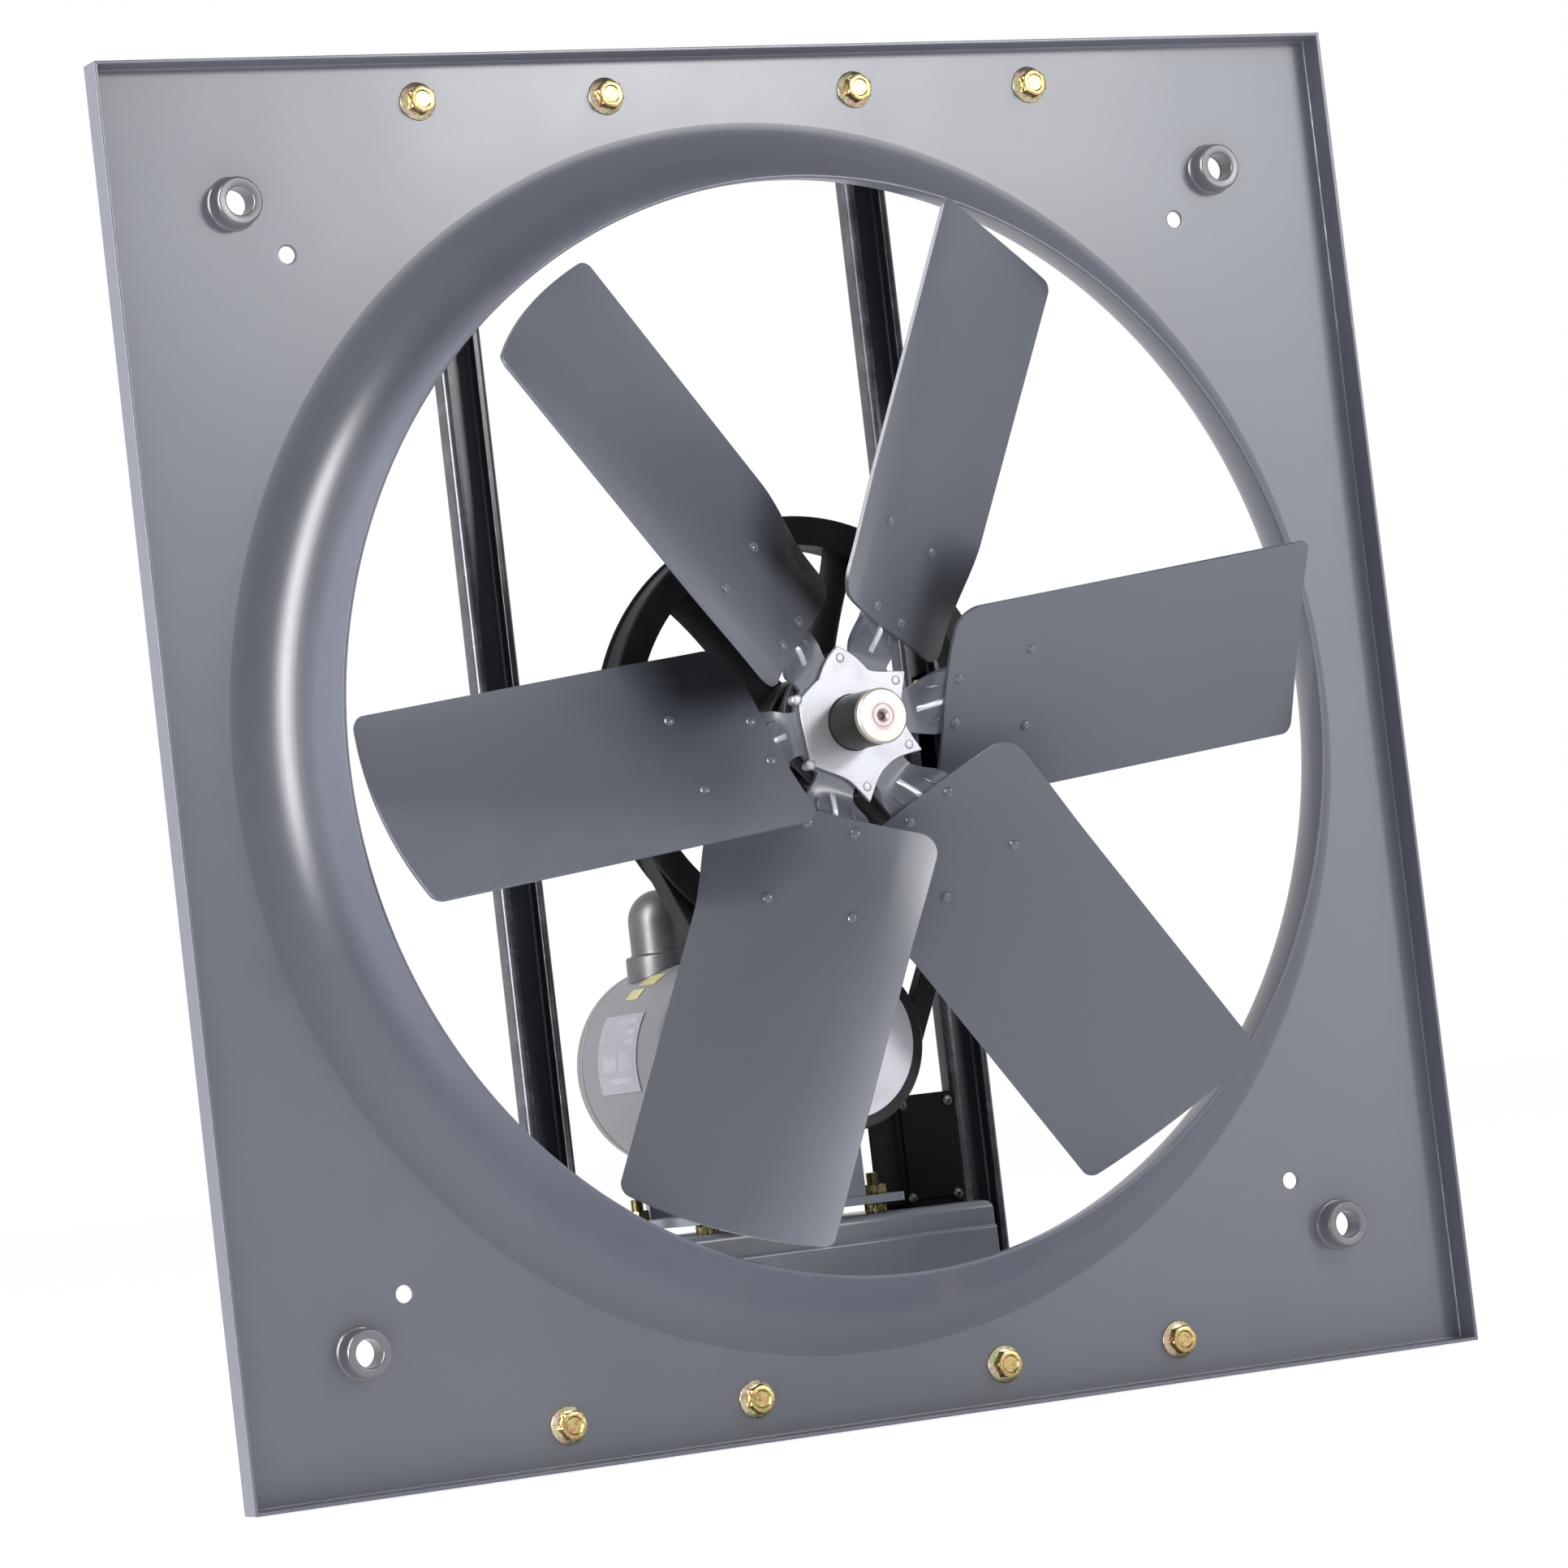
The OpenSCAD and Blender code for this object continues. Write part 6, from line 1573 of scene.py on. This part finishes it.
def build_stage():
    """Camera, soft lights, pale floor and white surround."""
    scene = bpy.context.scene
    st = scene.fan_stage
    scene.view_settings.view_transform = "Standard"
    az, el = st.azimuth, st.elevation
    back = Vector((math.sin(az) * math.cos(el), -math.cos(az) * math.cos(el), math.sin(el)))
    aim = Vector((st.aim_x, 0.0, st.aim_z))
    right = (-back).cross(Vector((0, 0, 1))).normalized()
    up = right.cross(-back)
    turned_right = right * math.cos(st.roll) + up * math.sin(st.roll)
    turned_up = -right * math.sin(st.roll) + up * math.cos(st.roll)
    camera = bpy.data.objects.new("view_camera", bpy.data.cameras.new("view_camera"))
    scene.collection.objects.link(camera)
    rotation = Matrix((turned_right, turned_up, back)).transposed()
    camera.matrix_world = Matrix.Translation(aim + back * st.distance) @ rotation.to_4x4()
    camera.data.lens = st.lens
    camera.data.sensor_width = 36.0
    camera.data.clip_end = 100.0
    scene.camera = camera

    def lamp(name, watts, width, height, at, target, mirrored=False):
        """Area lamp that lights diffusely, or is only seen mirrored."""
        data = bpy.data.lights.new(name, "AREA")
        data.shape = "RECTANGLE"
        data.size, data.size_y = width, height
        data.energy = watts
        obj = bpy.data.objects.new(name, data)
        scene.collection.objects.link(obj)
        obj.location = at
        obj.rotation_mode = "QUATERNION"
        obj.rotation_quaternion = (Vector(at) - Vector(target)).to_track_quat("Z", "Y")
        obj.visible_camera = False
        obj.visible_diffuse = not mirrored
        obj.visible_glossy = mirrored

    lamp("key_light", st.key, 0.5, 0.5, (1.0, -1.1, 0.9), (0, 0, 0))
    lamp("top_light", st.top, 2.6, 1.6, (0.2, -0.6, 2.6), (0, 0, 0))
    lamp("edge_light", st.edge, 0.3, 1.6, (-2.3, 0.25, 1.1), (-0.33, 0, 0))
    lamp("glow_card", st.glow, 0.95, 0.5, (1.66, -3.2, 1.14), (0, 0, 0.4), True)
    lamp("side_card", st.side, 0.5, 1.6, (2.6, -3.2, 0.3), (0.3, 0, 0), True)
    lamp("strip_card", st.strip, 0.6, 3.4, (-2.47, -0.51, 0.9), (-0.33, 0, 0.2), True)

    world = bpy.data.worlds.new("Studio")
    scene.world = world
    world.use_nodes = True
    t = Tree(world.node_tree)
    shell = world.node_tree.nodes["Background"]
    rays = t.add("LightPath").outputs
    mirrored = t.math("MAXIMUM", rays["Is Glossy Ray"], rays["Is Transmission Ray"])
    seen = t.math("MAXIMUM", rays["Is Camera Ray"], mirrored)
    shell.inputs["Color"].default_value = (1.0, 1.0, 1.0, 1.0)
    t.put(shell.inputs["Strength"], t.add("MapRange", {0: seen, 3: st.ambient, 4: 1.0}).outputs[0])

    material, t, shader = new_material("Floor")
    cloud = t.noise(t.coords(), 3.0)
    rays = t.add("LightPath").outputs
    seen = t.math("MAXIMUM", rays["Is Camera Ray"], rays["Is Glossy Ray"])
    t.put(shader.inputs["Base Color"], t.mix(cloud, (0.80, 0.80, 0.80), (0.82, 0.82, 0.82)))
    shader.inputs["Roughness"].default_value = 0.9
    shader.inputs["Specular IOR Level"].default_value = 0.0
    shader.inputs["Emission Color"].default_value = (1, 1, 1, 1)
    t.put(shader.inputs["Emission Strength"], t.add("MapRange", {0: seen, 3: st.bounce, 4: 0.78}).outputs[0])
    mesh = bpy.data.meshes.new("floor_sheet")
    bm = bmesh.new()
    reach, level = 30.0, CAD_BOX[0][2] - 0.001
    ways = ((-1, -1), (1, -1), (1, 1), (-1, 1))
    bm.faces.new([bm.verts.new((reach * sx, reach * sy, level)) for sx, sy in ways])
    bm.to_mesh(mesh)
    bm.free()
    mesh.materials.append(material)
    floor = bpy.data.objects.new("floor_sheet", mesh)
    scene.collection.objects.link(floor)


class FAN_OT_panel(bpy.types.Operator):
    """Build the panel with its mouth, and the corner spacers"""

    bl_idname = "fan.panel"
    bl_label = "Panel and Spacers"
    bl_options = {"REGISTER", "UNDO"}

    def execute(self, context):
        build_panel()
        return {"FINISHED"}


class FAN_OT_panel_bolts(bpy.types.Operator):
    """Build the flange bolts and nuts of the panel"""

    bl_idname = "fan.panel_bolts"
    bl_label = "Panel Bolts"
    bl_options = {"REGISTER", "UNDO"}

    def execute(self, context):
        build_panel_bolts()
        return {"FINISHED"}


class FAN_OT_frame_bolts(bpy.types.Operator):
    """Build the bolts of the posts, bridge, cartridge and cleats"""

    bl_idname = "fan.frame_bolts"
    bl_label = "Frame Bolts"
    bl_options = {"REGISTER", "UNDO"}

    def execute(self, context):
        build_frame_bolts()
        return {"FINISHED"}


class FAN_OT_posts(bpy.types.Operator):
    """Build the two lipped channels"""

    bl_idname = "fan.posts"
    bl_label = "Posts"
    bl_options = {"REGISTER", "UNDO"}

    def execute(self, context):
        build_posts()
        return {"FINISHED"}


class FAN_OT_legs(bpy.types.Operator):
    """Build the four hat shaped legs"""

    bl_idname = "fan.legs"
    bl_label = "Legs"
    bl_options = {"REGISTER", "UNDO"}

    def execute(self, context):
        build_legs()
        return {"FINISHED"}


class FAN_OT_bridge(bpy.types.Operator):
    """Build the bearing bridge"""

    bl_idname = "fan.bridge"
    bl_label = "Bearing Bridge"
    bl_options = {"REGISTER", "UNDO"}

    def execute(self, context):
        build_bridge()
        return {"FINISHED"}


class FAN_OT_cartridge(bpy.types.Operator):
    """Build the bearing cartridge"""

    bl_idname = "fan.cartridge"
    bl_label = "Bearing Cartridge"
    bl_options = {"REGISTER", "UNDO"}

    def execute(self, context):
        build_cartridge()
        return {"FINISHED"}


class FAN_OT_blades(bpy.types.Operator):
    """Build the six blades and their rivets"""

    bl_idname = "fan.blades"
    bl_label = "Blades"
    bl_options = {"REGISTER", "UNDO"}

    def execute(self, context):
        build_blades()
        return {"FINISHED"}


class FAN_OT_spider(bpy.types.Operator):
    """Build the pressed spider"""

    bl_idname = "fan.spider"
    bl_label = "Spider"
    bl_options = {"REGISTER", "UNDO"}

    def execute(self, context):
        build_spider()
        return {"FINISHED"}


class FAN_OT_hub(bpy.types.Operator):
    """Build the star plate, the hub rivets, the barrel, the shaft and the collar"""

    bl_idname = "fan.hub"
    bl_label = "Hub and Shaft"
    bl_options = {"REGISTER", "UNDO"}

    def execute(self, context):
        build_hub()
        return {"FINISHED"}


class FAN_OT_drive(bpy.types.Operator):
    """Build the sheaves and the belt"""

    bl_idname = "fan.drive"
    bl_label = "Belt Drive"
    bl_options = {"REGISTER", "UNDO"}

    def execute(self, context):
        build_drive()
        return {"FINISHED"}


class FAN_OT_motor(bpy.types.Operator):
    """Build the motor, its cover, its blank label and the stickers"""

    bl_idname = "fan.motor"
    bl_label = "Motor"
    bl_options = {"REGISTER", "UNDO"}

    def execute(self, context):
        build_motor()
        return {"FINISHED"}


class FAN_OT_support(bpy.types.Operator):
    """Build the tray, cradle, studs, nuts and cleats"""

    bl_idname = "fan.support"
    bl_label = "Motor Support"
    bl_options = {"REGISTER", "UNDO"}

    def execute(self, context):
        build_support()
        return {"FINISHED"}


class FAN_OT_junction_box(bpy.types.Operator):
    """Build the junction box and its gland"""

    bl_idname = "fan.junction_box"
    bl_label = "Junction Box"
    bl_options = {"REGISTER", "UNDO"}

    def execute(self, context):
        build_junction_box()
        return {"FINISHED"}


class FAN_OT_hidden(bpy.types.Operator):
    """Give the bearings and the motor's inside their finishes"""

    bl_idname = "fan.hidden"
    bl_label = "Hidden Parts"
    bl_options = {"REGISTER", "UNDO"}

    def execute(self, context):
        dress_hidden()
        return {"FINISHED"}


class FAN_OT_stage(bpy.types.Operator):
    """Set up the camera, the lights and the floor"""

    bl_idname = "fan.stage"
    bl_label = "Stage"
    bl_options = {"REGISTER", "UNDO"}

    def execute(self, context):
        build_stage()
        return {"FINISHED"}


OPERATORS = [
    FAN_OT_panel, FAN_OT_panel_bolts, FAN_OT_frame_bolts, FAN_OT_posts, FAN_OT_legs, FAN_OT_bridge,
    FAN_OT_cartridge, FAN_OT_blades, FAN_OT_spider, FAN_OT_hub, FAN_OT_drive, FAN_OT_motor,
    FAN_OT_support, FAN_OT_junction_box, FAN_OT_hidden, FAN_OT_stage,
]


class FAN_PT_build(bpy.types.Panel):
    """Lists the fan's sizes, finishes and build steps"""

    bl_idname = "FAN_PT_build"
    bl_label = "Exhaust Fan"
    bl_space_type = "VIEW_3D"
    bl_region_type = "UI"
    bl_category = "Fan"

    def draw(self, context):
        """Buttons of the steps, then the settings."""
        for step in OPERATORS:
            self.layout.operator(step.bl_idname)
        for group in (context.scene.fan_sizes, context.scene.fan_finish, context.scene.fan_stage):
            column = self.layout.column(align=True)
            for name in type(group).__annotations__:
                column.prop(group, name)


CLASSES = [FanSizes, FanFinish, FanStage, *OPERATORS, FAN_PT_build]


def register():
    """Registers the classes and hangs the settings on the scene."""
    for cls in CLASSES:
        bpy.utils.register_class(cls)
    bpy.types.Scene.fan_sizes = PointerProperty(type=FanSizes)
    bpy.types.Scene.fan_finish = PointerProperty(type=FanFinish)
    bpy.types.Scene.fan_stage = PointerProperty(type=FanStage)


def unregister():
    """Takes the settings and the classes away again."""
    del bpy.types.Scene.fan_stage
    del bpy.types.Scene.fan_finish
    del bpy.types.Scene.fan_sizes
    for cls in reversed(CLASSES):
        bpy.utils.unregister_class(cls)


def main():
    """Builds the whole fan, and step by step."""
    register()
    for step in OPERATORS:
        getattr(bpy.ops.fan, step.bl_idname.split(".")[1])()


if __name__ == "__main__":
    main()
